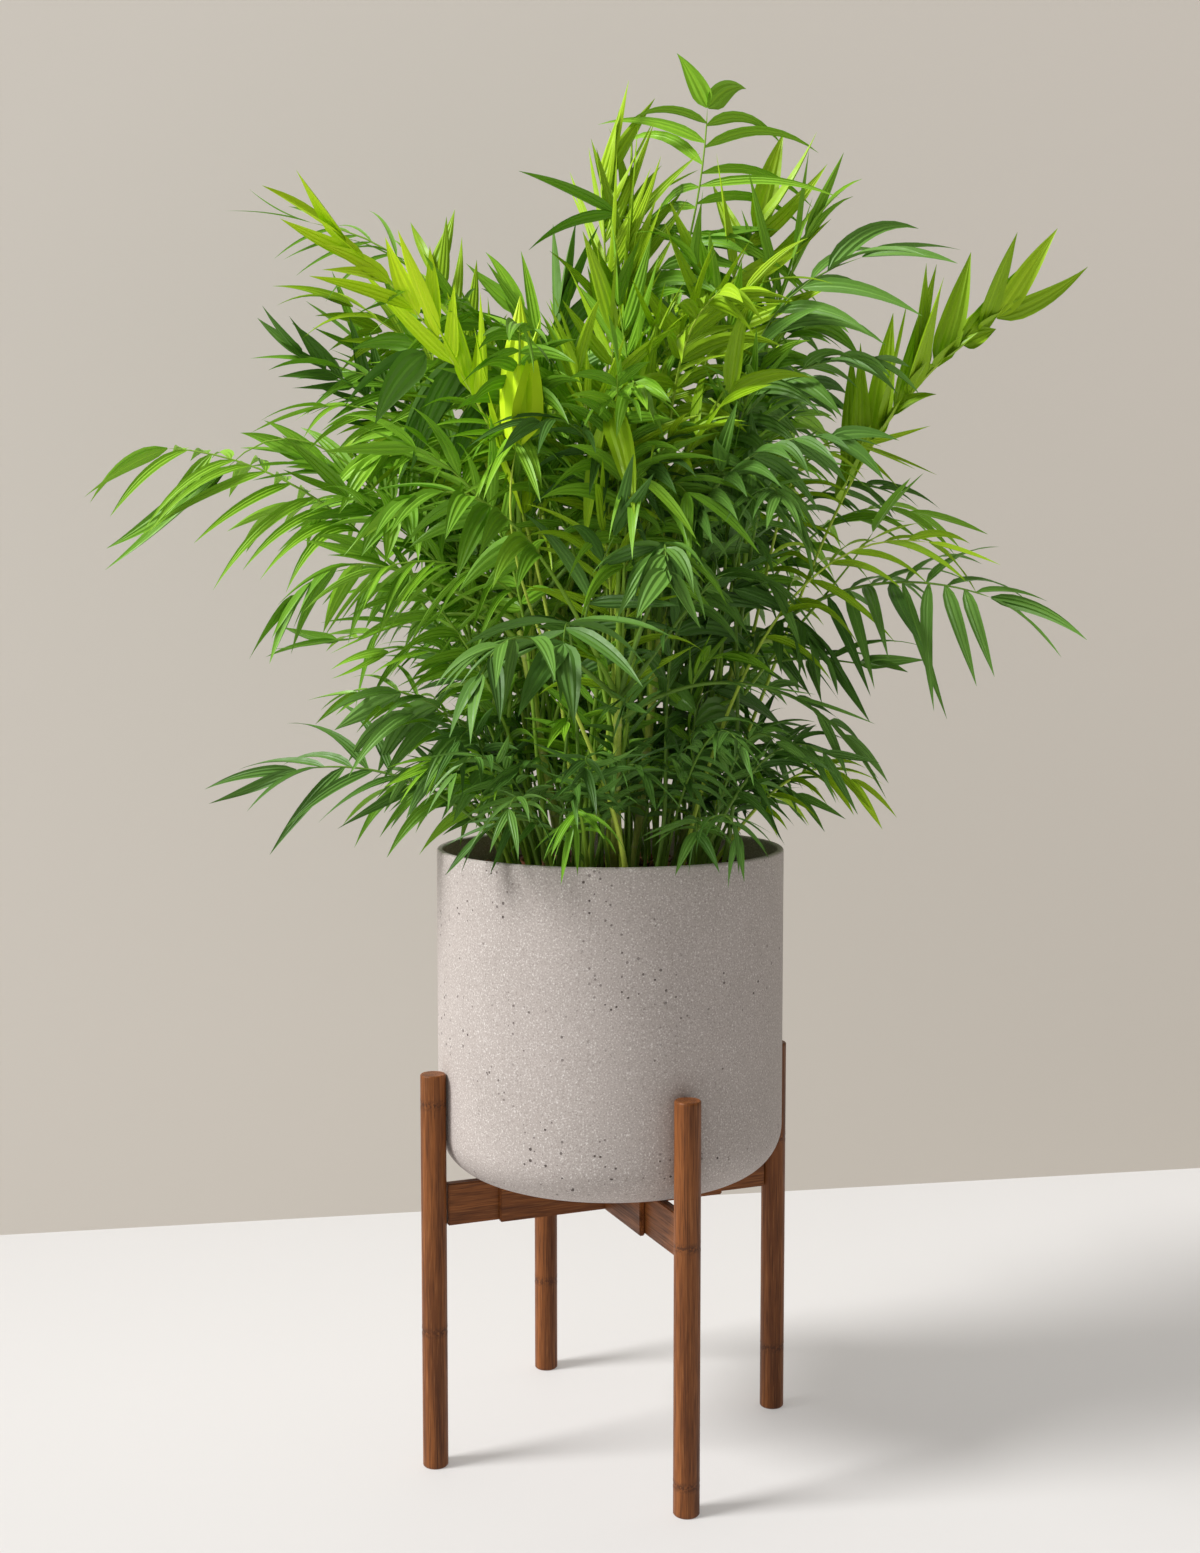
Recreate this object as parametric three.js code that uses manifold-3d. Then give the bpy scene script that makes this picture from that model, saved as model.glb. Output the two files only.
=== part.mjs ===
// A parlour palm in a stone pot, on a bamboo stand of four round legs and two crossed bars.
// Millimetres, +Z up. The floor is z = 0 and the pot's axis is x = y = 0 until the whole is
// centred on its own footprint at the end. The front of the plant faces -Y.
import * as THREE from "three";
import { mergeVertices } from "three/addons/utils/BufferGeometryUtils.js";
import Module from "manifold-3d";

const wasm = await Module();
wasm.setup();

// Pot and soil
const POT_RADIUS = 150;
const POT_HEIGHT = 280;
const POT_WALL = 6;
const POT_FLOOR = 8;
const POT_CORNER = 40;
const CORNER_STEPS = 3;
const POT_SIDES = 32;
const SOIL_DEPTH_BELOW_RIM = 24;

// Stand
const LEG_RADIUS = 11;
const LEG_HEIGHT = 340;
const LEG_SIDES = 20;
const LEG_TO_POT = 0.5;
const STAND_BEARING = -67.8;
const BAR_TOP = 245.7;
const BAR_HEIGHT = 38;
const BAR_WIDTH = 19;
const LOWER_BAR_REACH = 105;
const UPPER_BAR_REACH = 88;
const TONGUE_HEIGHT = 36;
const TONGUE_WIDTH = 9;
const TONGUE_START = 50;
const SEAT = 0.3;

// Canes
const CANE_COUNT = 9;
const CANE_SPACING = 24;
const CANE_FOOT_RADIUS = 4.8;
const CANE_TIP_RADIUS = 3.3;
const CANE_FLARE = 1.45;
const CANE_FLARE_HEIGHT = 14;
const CANE_SIDES = 6;
const CANE_STEPS = 5;
const CANE_SHORT = 165;
const CANE_TALL = 265;
const CANE_UNEVEN = 34;
const CANE_SPLAY = 1.95;
const CANE_TILT = 4;
const CANE_FIRST_BEARING = 30;
const GOLDEN_ANGLE = 137.508;

// Fronds
const RIB_FOOT = 1.9;
const RIB_TIP = 0.8;
const PETIOLE_STEPS = 3;
const GROUP_PETIOLE_STEPS = 2;
const LEAF_ROOT = 5.5;
const LEAF_ROOT_SHARE = 0.4;
const LEAF_BELLY = 0.42;
const LEAF_SLENDER = 0.18;
const LEAF_THICKNESS = 1.2;
const OPEN_ANGLE = 60;
const CLOSED_ANGLE = 26;
const FAN_ANGLE = 16;
const FAN_WIDTH = 1.45;
const LEAF_LIFT = 14;
const LEAF_DROOP = 48;
const LEAF_FALL = 1.5;
const LEAF_FALL_EASE = 0.4;
const LEAF_SWELL = { least: 0.72, from: 0.2, over: 0.7 };
const LEAF_TRIALS = [
  { lift: 0, scale: 1 }, { lift: 12, scale: 1 }, { lift: -12, scale: 1 },
  { lift: 24, scale: 0.9 }, { lift: -24, scale: 0.9 }, { lift: 0, scale: 0.75 },
  { lift: 18, scale: 0.7 }, { lift: -18, scale: 0.7 }, { lift: 0, scale: 0.5 },
];
const TERMINAL_REACH = 0.8;
const LEAD_ARM = 0.4;
const TIP_ARM = 0.35;
const SEAT_STEP = 15;
const LOAD_COST = 0.16;
const CLEARANCE = 0.32;
const SEAT_GAP = 0.35;
const STAND_OFFS = [0, 0.15, 0.3, 0.45, 0.6];
const BENDS = [0, 7, -7, 14, -14, 21, -21, 28, -28, 42, -42, 56, -56];
const SHEATH_RADIUS = 3.2;
const SHEATH_TIP_RADIUS = 2.56;
const SHEATH_SIDES = 6;
const SHEATH_HEIGHT = 16;

// Groups of smaller fronds, on the canes' tips and round the foot of the clump
const TOP_SLOPES = [66, 46, 28, 10, -8];
const TOP_TURNS = [-0.1, 0.55, -0.7, 1, -0.35];
const TOP_TONES = ["mid", "deep", "light", "mid", "deep"];
const TOP_FAN = 105;
const TOP_SCATTER = 26;
const TOP_SLOPE_SCATTER = 16;
const TOP_LEAD = 32;
const TOP_LEAD_LIMIT = 84;
const TOP_DROOP = 50;
const MIDDLE_FAN = 180;
const TOP_REACH_SHORT = 225;
const TOP_REACH_TALL = 345;
const TOP_REACH_SCATTER = [0.92, 1.08];
const TOP_LEAF = [66, 82];
const GROUP_BROAD = 1.25;
const CROWN_LEFT = 985;
const CROWN_RIGHT = 1075;
const CROWN_STEP = 30;
const TUFT_COUNT = 6;
const TUFT_FIRST = 0.35;
const TUFT_TURNS = [-54, 0, 54];
const TUFT_SCATTER = 16;
const TUFT_RING = 96;
const TUFT_REACH = 135;
const TUFT_SPILL = { reach: [0.85, 1.15], lift: [-22, 80], lead: 72, rise: -44 };
const TUFT_UPRIGHT = { reach: [0.5, 0.8], lift: [185, 185], lead: 84, rise: 4 };
const BACK_COUNT = 5;
const BACK_BEARINGS = [22, 158];
const BACK_LOW = { reach: 375, height: 300, lead: 56, rise: -16, tone: "mid" };
const BACK_HIGH = { reach: 284, height: 480, lead: 72, rise: 24, tone: "light" };
const BACK_LEAF = { leaf: 92, pairs: 7, hang: 0.6 };
const SEED = 5285;

const RIM_Z = BAR_TOP + SEAT + POT_HEIGHT;
const SOIL_Z = RIM_Z - SOIL_DEPTH_BELOW_RIM;
const LEG_RING = POT_RADIUS + LEG_RADIUS + LEG_TO_POT;
const UP = new THREE.Vector3(0, 0, 1);

const FINISH = {
  stone: { color: 0xb3aca5, roughness: 0.9 },
  bamboo: { color: 0x8b5734, roughness: 0.55 },
  soil: { color: 0x3a2016, roughness: 1 },
  cane: { color: 0x7f9a35, roughness: 0.5 },
  deep: { color: 0x24582a, roughness: 0.5 },
  mid: { color: 0x3a8030, roughness: 0.5 },
  light: { color: 0x62a232, roughness: 0.5 },
  fresh: { color: 0xa4cf25, roughness: 0.5 },
};

// The long fronds that give the crown its outline. tip is where the last leaflets end, lead and
// rise are the slopes in degrees at the two ends of the rib, leaf is the longest leaflet, spread
// closes the leaflets towards the rib, hang drops their tips and turn rolls the blade.
const LONG_FRONDS = [
  { name: "star", tip: [-42, -258, 684], lead: 52, rise: -26, leaf: 78, pairs: 6, hang: 0.4,
    tone: "deep" },
  { name: "left_arch", tip: [-474, 20, 858], lead: 58, rise: -10, leaf: 108, pairs: 8, hang: 0.8,
    turn: -38 },
  { name: "spear", tip: [-307, -30, 1062], lead: 78, rise: 28, leaf: 72, pairs: 8, hang: 0,
    spread: 0.4, turn: -60, tone: "fresh" },
  { name: "cleft_leaf", tip: [-66, -62, 986], lead: 84, rise: 76, leaf: 150, pairs: 1, hang: 0,
    spread: 0.5, turn: 80, broad: 1.3, tone: "fresh" },
  { name: "crown_top", tip: [84, 10, 1200], lead: 86, rise: 88, leaf: 92, pairs: 8, hang: 0.5,
    turn: 85 },
  { name: "right_high", tip: [411, 30, 1033], lead: 52, rise: 38, leaf: 100, pairs: 8, hang: -0.3,
    spread: 0.8, turn: 65, tone: "light" },
  { name: "right_arch", tip: [408, -50, 712], lead: 52, rise: -18, leaf: 106, pairs: 9, hang: 0.8,
    turn: 42 },
  { name: "right_bright", tip: [350, 40, 772], lead: 66, rise: -14, leaf: 80, pairs: 7, hang: 0.6,
    turn: 20, tone: "fresh" },
  { name: "right_dark", tip: [272, -80, 1012], lead: 74, rise: 22, leaf: 108, pairs: 7, hang: 0.7,
    turn: 30, tone: "deep" },
  { name: "low_left", tip: [-343, -40, 562], lead: 28, rise: -32, leaf: 98, pairs: 7, hang: 0.4,
    turn: -34 },
  { name: "mid_left", tip: [-301, 30, 695], lead: 45, rise: -22, leaf: 84, pairs: 7, hang: 0.5,
    turn: -30 },
  { name: "low_right", tip: [235, -60, 590], lead: 40, rise: -48, leaf: 74, pairs: 6, hang: 0.4,
    turn: 24, tone: "deep" },
  { name: "right_middle", tip: [258, -95, 686], lead: 50, rise: -10, leaf: 82, pairs: 7,
    hang: 0.3, turn: 30, tone: "deep" },
  { name: "left_dark", tip: [-311, -20, 946], lead: 66, rise: 22, leaf: 66, pairs: 8, hang: 0.2,
    turn: -45, tone: "deep" },
  { name: "left_upright", tip: [-152, 40, 1080], lead: 84, rise: 68, leaf: 84, pairs: 7,
    hang: 0.2, turn: 60 },
  { name: "right_fan", tip: [160, 40, 1128], lead: 80, rise: 58, leaf: 90, pairs: 6, hang: 0,
    spread: 0.9, turn: 75, tone: "light" },
  { name: "bright_tuft", tip: [-6, 20, 1158], lead: 86, rise: 84, leaf: 104, pairs: 6, hang: 0,
    spread: 0.55, turn: 80, tone: "fresh" },
  { name: "right_upright", tip: [203, 20, 1114], lead: 78, rise: 62, leaf: 88, pairs: 7,
    hang: 0.1, spread: 0.7 },
  { name: "left_upper", tip: [-268, 60, 1004], lead: 70, rise: 30, leaf: 82, pairs: 7, hang: 0.4,
    turn: -40 },
];

// The same run of numbers each time, from 0 up to 1.
function seeded(seed) {
  let state = seed >>> 0;
  return () => {
    state = (state + 0x6d2b79f5) >>> 0;
    let t = state;
    t = Math.imul(t ^ (t >>> 15), t | 1);
    t ^= t + Math.imul(t ^ (t >>> 7), t | 61);
    return ((t ^ (t >>> 14)) >>> 0) / 4294967296;
  };
}

const radians = THREE.MathUtils.degToRad;
const lerp = THREE.MathUtils.lerp;

function bearingVector(degrees) {
  return new THREE.Vector3(Math.cos(radians(degrees)), Math.sin(radians(degrees)), 0);
}

// A direction at a slope, in degrees above the level, towards a level bearing.
function slopeVector(bearing, degrees) {
  const flat = bearing.clone().multiplyScalar(Math.cos(radians(degrees)));
  return flat.addScaledVector(UP, Math.sin(radians(degrees)));
}

function along(point, direction, distance) {
  return point.clone().addScaledVector(direction, distance);
}

// A closed body, gathered face by face.
class Body {
  constructor() {
    this.positions = [];
    this.index = [];
  }

  point(p) {
    this.positions.push(p.x, p.y, p.z);
    return this.positions.length / 3 - 1;
  }

  triangle(a, b, c) {
    this.index.push(a, b, c);
  }

  quad(a, b, c, d) {
    this.triangle(a, b, c);
    this.triangle(a, c, d);
  }

  geometry() {
    const geometry = new THREE.BufferGeometry();
    geometry.setAttribute("position", new THREE.Float32BufferAttribute(this.positions, 3));
    geometry.setIndex(this.index);
    geometry.computeVertexNormals();
    return geometry;
  }
}

function solidOf(geometry) {
  const bare = geometry.clone();
  bare.deleteAttribute("normal");
  bare.deleteAttribute("uv");
  const merged = mergeVertices(bare, 1e-4);
  return new wasm.Manifold(new wasm.Mesh({
    numProp: 3,
    vertProperties: new Float32Array(merged.attributes.position.array),
    triVerts: new Uint32Array(merged.index.array),
  }));
}

function geometryOf(solid) {
  const mesh = solid.getMesh();
  const geometry = new THREE.BufferGeometry();
  geometry.setAttribute("position", new THREE.Float32BufferAttribute(mesh.vertProperties, 3));
  geometry.setIndex(Array.from(mesh.triVerts));
  geometry.computeVertexNormals();
  return geometry;
}

const plant = new THREE.Group();

function addMesh(name, geometry, finish, parent = plant) {
  const mesh = new THREE.Mesh(geometry, new THREE.MeshStandardMaterial(FINISH[finish]));
  mesh.name = name;
  parent.add(mesh);
  return mesh;
}

// Stand: round legs, two bars halved into each other, and tongues that slide in their ends
function boxAt(length, width, height, x, y, z) {
  return new THREE.BoxGeometry(length, width, height).translate(x, y, z);
}

function crossBar(reach, notchZ) {
  const middle = BAR_TOP - BAR_HEIGHT / 2;
  const notchWidth = BAR_WIDTH + 2 * SEAT;
  const notchHeight = BAR_HEIGHT / 2 + SEAT;
  const grooveStart = TONGUE_START - 2 * SEAT;
  const grooveLength = reach - grooveStart + 1;
  const grooveWidth = TONGUE_WIDTH + 2 * SEAT;
  let bar = solidOf(boxAt(2 * reach, BAR_WIDTH, BAR_HEIGHT, 0, 0, middle));
  bar = bar.subtract(solidOf(boxAt(notchWidth, 2 * BAR_WIDTH, notchHeight, 0, 0, notchZ)));
  for (const side of [-1, 1]) {
    const x = side * (grooveStart + grooveLength / 2);
    const groove = boxAt(grooveLength, grooveWidth, 2 * BAR_HEIGHT, x, 0, middle);
    bar = bar.subtract(solidOf(groove));
  }
  return geometryOf(bar);
}

function buildStand() {
  const stand = new THREE.Group();
  stand.rotation.z = radians(STAND_BEARING);
  plant.add(stand);
  const corners = ["front_right", "back_right", "back_left", "front_left"];
  const tongueEnd = LEG_RING - LEG_RADIUS - SEAT;
  const tongueLength = tongueEnd - TONGUE_START;
  const tongueMiddle = TONGUE_START + tongueLength / 2;
  corners.forEach((corner, k) => {
    const arm = new THREE.Group();
    arm.rotation.z = k * Math.PI / 2;
    stand.add(arm);
    const leg = new THREE.CylinderGeometry(LEG_RADIUS, LEG_RADIUS, LEG_HEIGHT, LEG_SIDES);
    leg.rotateX(Math.PI / 2).translate(LEG_RING, 0, LEG_HEIGHT / 2);
    addMesh(`leg_${corner}`, leg, "bamboo", arm);
    const tongueZ = BAR_TOP - BAR_HEIGHT / 2;
    const tongue = boxAt(tongueLength, TONGUE_WIDTH, TONGUE_HEIGHT, tongueMiddle, 0, tongueZ);
    addMesh(`tongue_${corner}`, tongue, "bamboo", arm);
  });
  const notchTop = BAR_TOP - BAR_HEIGHT / 4 + SEAT / 2;
  const notchLow = BAR_TOP - BAR_HEIGHT * 3 / 4 - SEAT / 2;
  addMesh("cross_bar_front_back", crossBar(UPPER_BAR_REACH, notchLow), "bamboo", stand);
  const sideways = new THREE.Group();
  sideways.rotation.z = Math.PI / 2;
  stand.add(sideways);
  addMesh("cross_bar_left_right", crossBar(LOWER_BAR_REACH, notchTop), "bamboo", sideways);
}

// The corner of a pot wall or of the soil in it: a quarter circle in radius and height.
function cornerArc(radius, foot, corner) {
  const points = [];
  for (let k = 0; k <= CORNER_STEPS; k++) {
    const a = (k / CORNER_STEPS) * Math.PI / 2;
    const x = radius - corner + corner * Math.sin(a);
    points.push(new THREE.Vector2(x, foot + corner - corner * Math.cos(a)));
  }
  return points;
}

function lathe(profile) {
  return new THREE.LatheGeometry(profile, POT_SIDES).rotateX(Math.PI / 2);
}

function buildPot() {
  const foot = RIM_Z - POT_HEIGHT;
  const inside = POT_RADIUS - POT_WALL;
  const insideCorner = POT_CORNER - POT_WALL;
  const outer = cornerArc(POT_RADIUS, foot, POT_CORNER);
  const inner = cornerArc(inside, foot + POT_FLOOR, insideCorner).reverse();
  const potProfile = [
    new THREE.Vector2(0, foot), ...outer,
    new THREE.Vector2(POT_RADIUS, RIM_Z), new THREE.Vector2(inside, RIM_Z),
    ...inner, new THREE.Vector2(0, foot + POT_FLOOR),
  ];
  addMesh("pot", lathe(potProfile), "stone");
  const soilFoot = foot + POT_FLOOR + SEAT;
  const soilProfile = [
    new THREE.Vector2(0, soilFoot), ...cornerArc(inside - SEAT, soilFoot, insideCorner),
    new THREE.Vector2(inside - SEAT, SOIL_Z), new THREE.Vector2(0, SOIL_Z),
  ];
  addMesh("soil", lathe(soilProfile), "soil");
}

// Canes: a spiral of feet on the soil, each leaning out from the middle of the clump
function cane(k) {
  const rank = k / (CANE_COUNT - 1);
  const bearing = bearingVector(GOLDEN_ANGLE * k + CANE_FIRST_BEARING);
  const footRadius = CANE_SPACING * Math.sqrt(k);
  const height = lerp(CANE_TALL, CANE_SHORT, rank) + CANE_UNEVEN * Math.sin(2.4 * k);
  const foot = along(new THREE.Vector3(0, 0, SOIL_Z + SEAT), bearing, footRadius);
  const top = along(along(foot, UP, height), bearing, footRadius * (CANE_SPLAY - 1) + CANE_TILT);
  const lean = top.clone().sub(foot).normalize();
  return { k, foot, top, height, bearing, lean, load: 0 };
}

function caneRadius(stem, height) {
  const flare = 1 + (CANE_FLARE - 1) * Math.max(0, 1 - height / CANE_FLARE_HEIGHT);
  return flare * lerp(CANE_FOOT_RADIUS, CANE_TIP_RADIUS, height / stem.height);
}

function caneCentre(stem, height) {
  return stem.foot.clone().lerp(stem.top, height / stem.height);
}

function ring(centre, radius, sides) {
  const points = [];
  for (let s = 0; s < sides; s++) {
    points.push(along(centre, bearingVector(360 * s / sides), radius));
  }
  return points;
}

// A closed tube through level rings, its two ends flat.
function ringTube(rings) {
  const body = new Body();
  const ids = rings.map((points) => points.map((p) => body.point(p)));
  const sides = rings[0].length;
  for (let r = 0; r + 1 < ids.length; r++) {
    for (let s = 0; s < sides; s++) {
      const n = (s + 1) % sides;
      body.quad(ids[r][s], ids[r][n], ids[r + 1][n], ids[r + 1][s]);
    }
  }
  const last = ids[ids.length - 1];
  for (let s = 1; s + 1 < sides; s++) {
    body.triangle(ids[0][0], ids[0][s + 1], ids[0][s]);
    body.triangle(last[0], last[s], last[s + 1]);
  }
  return body;
}

function caneRings(stem) {
  const heights = [0, CANE_FLARE_HEIGHT];
  for (let step = 1; step <= CANE_STEPS; step++) {
    heights.push(lerp(CANE_FLARE_HEIGHT, stem.height, step / CANE_STEPS));
  }
  return heights.map((h) => ring(caneCentre(stem, h), caneRadius(stem, h), CANE_SIDES));
}

// Space that is taken, kept as convex blocks of points with the axes that may part them
const taken = [];

function block(points, axes, node, frond = null) {
  const box = new THREE.Box3().setFromPoints(points).expandByScalar(CLEARANCE);
  return { points, axes, node, frond, box, centre: box.getCenter(new THREE.Vector3()) };
}

function span(points, axis) {
  let low = Infinity;
  let high = -Infinity;
  for (const p of points) {
    const d = p.dot(axis);
    low = Math.min(low, d);
    high = Math.max(high, d);
  }
  return [low, high];
}

function partedBy(a, b, axis) {
  const size = axis.length();
  if (size < 1e-6) {
    return false;
  }
  const [aLow, aHigh] = span(a.points, axis);
  const [bLow, bHigh] = span(b.points, axis);
  return Math.max(bLow - aHigh, aLow - bHigh) > CLEARANCE * size;
}

function parted(a, b) {
  if (!a.box.intersectsBox(b.box)) {
    return true;
  }
  if (partedBy(a, b, a.centre.clone().sub(b.centre))) {
    return true;
  }
  if (a.axes.some((axis) => partedBy(a, b, axis)) || b.axes.some((axis) => partedBy(a, b, axis))) {
    return true;
  }
  const cross = new THREE.Vector3();
  return a.axes.some((u) => b.axes.some((v) => partedBy(a, b, cross.crossVectors(u, v))));
}

function free(blocks, ignored) {
  return blocks.every((a) => taken.every((b) => ignored(b) || parted(a, b)));
}

function takeRimAndSoil() {
  const inside = POT_RADIUS - POT_WALL;
  const deep = POT_HEIGHT / 2;
  for (let s = 0; s < POT_SIDES; s++) {
    const points = [];
    for (const end of [s, s + 1]) {
      const out = bearingVector(360 * end / POT_SIDES);
      for (const radius of [inside, POT_RADIUS]) {
        points.push(along(new THREE.Vector3(0, 0, RIM_Z), out, radius));
        points.push(along(new THREE.Vector3(0, 0, RIM_Z - deep), out, radius));
      }
    }
    const out = bearingVector(360 * (s + 0.5) / POT_SIDES);
    taken.push(block(points, [out, UP, new THREE.Vector3().crossVectors(out, UP)], "pot"));
  }
  const bed = [];
  for (const z of [SOIL_Z, SOIL_Z - deep]) {
    bed.push(...ring(new THREE.Vector3(0, 0, z), inside, POT_SIDES));
  }
  taken.push(block(bed, [UP, bearingVector(0), bearingVector(90)], "soil"));
}

// A tube is parted from others by the normals of its flat sides.
function takeTube(rings, node) {
  for (let r = 0; r + 1 < rings.length; r++) {
    const [low, high] = [rings[r], rings[r + 1]];
    const axes = low.map((corner, s) => {
      const across = low[(s + 1) % low.length].clone().sub(corner);
      return across.cross(high[s].clone().sub(corner)).normalize();
    });
    taken.push(block([...low, ...high], [UP, ...axes], node));
  }
}

// The line of a frond's rib, from its seat to the root of its last leaflets.
function ribCurve(frond, bend, standOff) {
  const tip = new THREE.Vector3(...frond.tip);
  const out = tip.clone().sub(frond.start).setZ(0).normalize();
  const start = along(frond.start, out, standOff);
  const bearing = tip.clone().sub(start).setZ(0).normalize();
  const endWay = slopeVector(bearing, frond.rise);
  const end = along(tip, endWay, -TERMINAL_REACH * frond.leaf);
  const reach = end.distanceTo(start);
  const aside = new THREE.Vector3().crossVectors(bearing, UP);
  const first = along(start, slopeVector(bearing, frond.lead), LEAD_ARM * reach);
  const second = along(end, endWay, -TIP_ARM * reach);
  first.addScaledVector(aside, bend);
  second.addScaledVector(aside, bend);
  return { curve: new THREE.CubicBezierCurve3(start, first, second, end), aside };
}

// Stations along the rib: a few up the petiole, then two for each pair of leaflets.
function ribStations(frond, line) {
  const bare = 1 - frond.blade;
  const shares = [];
  for (let k = 0; k < frond.steps; k++) {
    shares.push({ at: bare * k / frond.steps, leaf: -1 });
  }
  const pitch = frond.blade / frond.pairs;
  const root = Math.min(LEAF_ROOT / line.curve.getLength(), LEAF_ROOT_SHARE * pitch);
  for (let pair = 0; pair < frond.pairs; pair++) {
    const at = bare + pitch * (pair + 1) - root;
    shares.push({ at, leaf: pair });
    shares.push({ at: at + root, leaf: -1 });
  }
  return shares.map(({ at, leaf }) => {
    const p = line.curve.getPointAt(Math.min(at, 1));
    const t = line.curve.getTangentAt(Math.min(at, 1));
    const n = new THREE.Vector3().crossVectors(line.aside, t).normalize();
    const roll = at < bare ? 0 : radians(frond.turn) * lerp(0.5, 1, (at - bare) / frond.blade);
    n.applyAxisAngle(t, roll);
    const r = new THREE.Vector3().crossVectors(t, n);
    const size = lerp(RIB_FOOT, RIB_TIP, at) * frond.stout;
    const top = along(p, n, size);
    const left = along(along(p, r, -size), n, -size / 2);
    const right = along(along(p, r, size), n, -size / 2);
    return { p, t, n, r, at, leaf, top, left, right };
  });
}

function ribBlocks(stations, frond) {
  const blocks = [];
  for (let k = 0; k + 1 < stations.length; k++) {
    const [a, b] = [stations[k], stations[k + 1]];
    const points = [a.top, a.left, a.right, b.top, b.left, b.right];
    const axes = [b.p.clone().sub(a.p).normalize(), a.n, a.r];
    blocks.push(block(points, axes, frond.node, frond));
  }
  return blocks;
}

// Settle a rib clear of all that stands there, bending it aside a little at a time.
function settleRib(frond) {
  for (const bend of BENDS) {
    for (const standOff of STAND_OFFS) {
      const stations = ribStations(frond, ribCurve(frond, bend, standOff));
      const blocks = ribBlocks(stations, frond);
      if (free(blocks, (b) => b.node === frond.node)) {
        frond.stations = stations;
        taken.push(...blocks);
        return true;
      }
    }
  }
  return false;
}

// One leaflet: four corners at its root on the rib, a belly of two edges and a keel, and a tip.
function leafShape(frond, station, next, side, trial) {
  const last = station.leaf === frond.pairs - 1;
  const share = frond.pairs > 1 ? station.leaf / (frond.pairs - 1) : 1;
  const { least, from, over } = LEAF_SWELL;
  const swell = lerp(least, 1, Math.sin(Math.PI * (from + over * share)));
  const length = frond.leaf * swell * trial.scale;
  const width = frond.leaf * LEAF_SLENDER * frond.broad * (last ? FAN_WIDTH : 1);
  const open = last ? FAN_ANGLE : lerp(OPEN_ANGLE, CLOSED_ANGLE, share) * frond.spread;
  const out = station.r.clone().multiplyScalar(side);
  const droop = LEAF_DROOP * frond.hang * (1 - 0.5 * share);
  const lift = radians(LEAF_LIFT - droop + trial.lift);
  const way = station.t.clone().multiplyScalar(Math.cos(radians(open)));
  way.addScaledVector(out, Math.sin(radians(open)));
  way.multiplyScalar(Math.cos(lift)).addScaledVector(station.n, Math.sin(lift)).normalize();
  const edge = along(station.t, way, -station.t.dot(way)).normalize();
  const face = new THREE.Vector3().crossVectors(way, edge).multiplyScalar(side);
  if (face.dot(station.n) < 0) {
    face.negate();
  }
  const root = station.p.clone().add(next.p).multiplyScalar(0.5);
  const middle = along(root, way, LEAF_BELLY * length);
  const fall = along(way, UP, -LEAF_FALL * frond.hang * (1 - LEAF_FALL_EASE * share)).normalize();
  const tip = along(middle, fall, (1 - LEAF_BELLY) * length);
  const front = along(middle, edge, width / 2);
  const back = along(middle, edge, -width / 2);
  const keel = along(middle, face, -LEAF_THICKNESS);
  const roots = side < 0
    ? [station.top, next.top, next.left, station.left]
    : [next.top, station.top, station.right, next.right];
  const belly = side < 0 ? [back, front, keel] : [front, back, keel];
  return { roots, belly, tip, axes: [way, edge, face], fallAxes: [fall, edge] };
}

function leafBlocks(leaf, frond) {
  const outer = new THREE.Vector3().crossVectors(...leaf.fallAxes).normalize();
  return [
    block([...leaf.roots, ...leaf.belly], leaf.axes, frond.node, frond),
    block([...leaf.belly, leaf.tip], [...leaf.fallAxes, outer], frond.node, frond),
  ];
}

function settleLeaf(frond, k, side) {
  const [station, next] = [frond.stations[k], frond.stations[k + 1]];
  for (const trial of LEAF_TRIALS) {
    const leaf = leafShape(frond, station, next, side, trial);
    const blocks = leafBlocks(leaf, frond);
    if (free(blocks, (b) => b.frond === frond)) {
      taken.push(...blocks);
      return leaf;
    }
  }
  return null;
}

function addLeaf(body, corners, leaf) {
  const [a, b, c, d] = corners;
  const [ea, eb, keel] = leaf.belly.map((p) => body.point(p));
  const tip = body.point(leaf.tip);
  body.quad(a, b, eb, ea);
  body.quad(b, c, keel, eb);
  body.triangle(c, d, keel);
  body.quad(d, a, ea, keel);
  body.triangle(ea, eb, tip);
  body.triangle(eb, keel, tip);
  body.triangle(keel, ea, tip);
}

// A frond's blade and rib as one closed body.
function frondBody(frond) {
  const body = new Body();
  const ids = frond.stations.map((s) => [s.top, s.left, s.right].map((p) => body.point(p)));
  for (let k = 0; k + 1 < ids.length; k++) {
    const [top, left, right] = ids[k];
    const [nextTop, nextLeft, nextRight] = ids[k + 1];
    body.quad(left, nextLeft, nextRight, right);
    const leftCorners = [top, nextTop, nextLeft, left];
    const rightCorners = [nextTop, top, right, nextRight];
    for (const [side, corners] of [[-1, leftCorners], [1, rightCorners]]) {
      const leaf = frond.stations[k].leaf < 0 ? null : settleLeaf(frond, k, side);
      if (leaf) {
        addLeaf(body, corners, leaf);
      } else {
        body.quad(...corners);
      }
    }
  }
  const [top, left, right] = ids[0];
  const [endTop, endLeft, endRight] = ids[ids.length - 1];
  body.triangle(top, left, right);
  body.triangle(endTop, endRight, endLeft);
  return body;
}

function completed(frond, node, start) {
  const plain = {
    spread: 1, turn: 0, broad: 1, stout: 1, blade: 0.62, steps: PETIOLE_STEPS, tone: "mid",
  };
  return { ...plain, ...frond, node, start };
}

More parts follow.
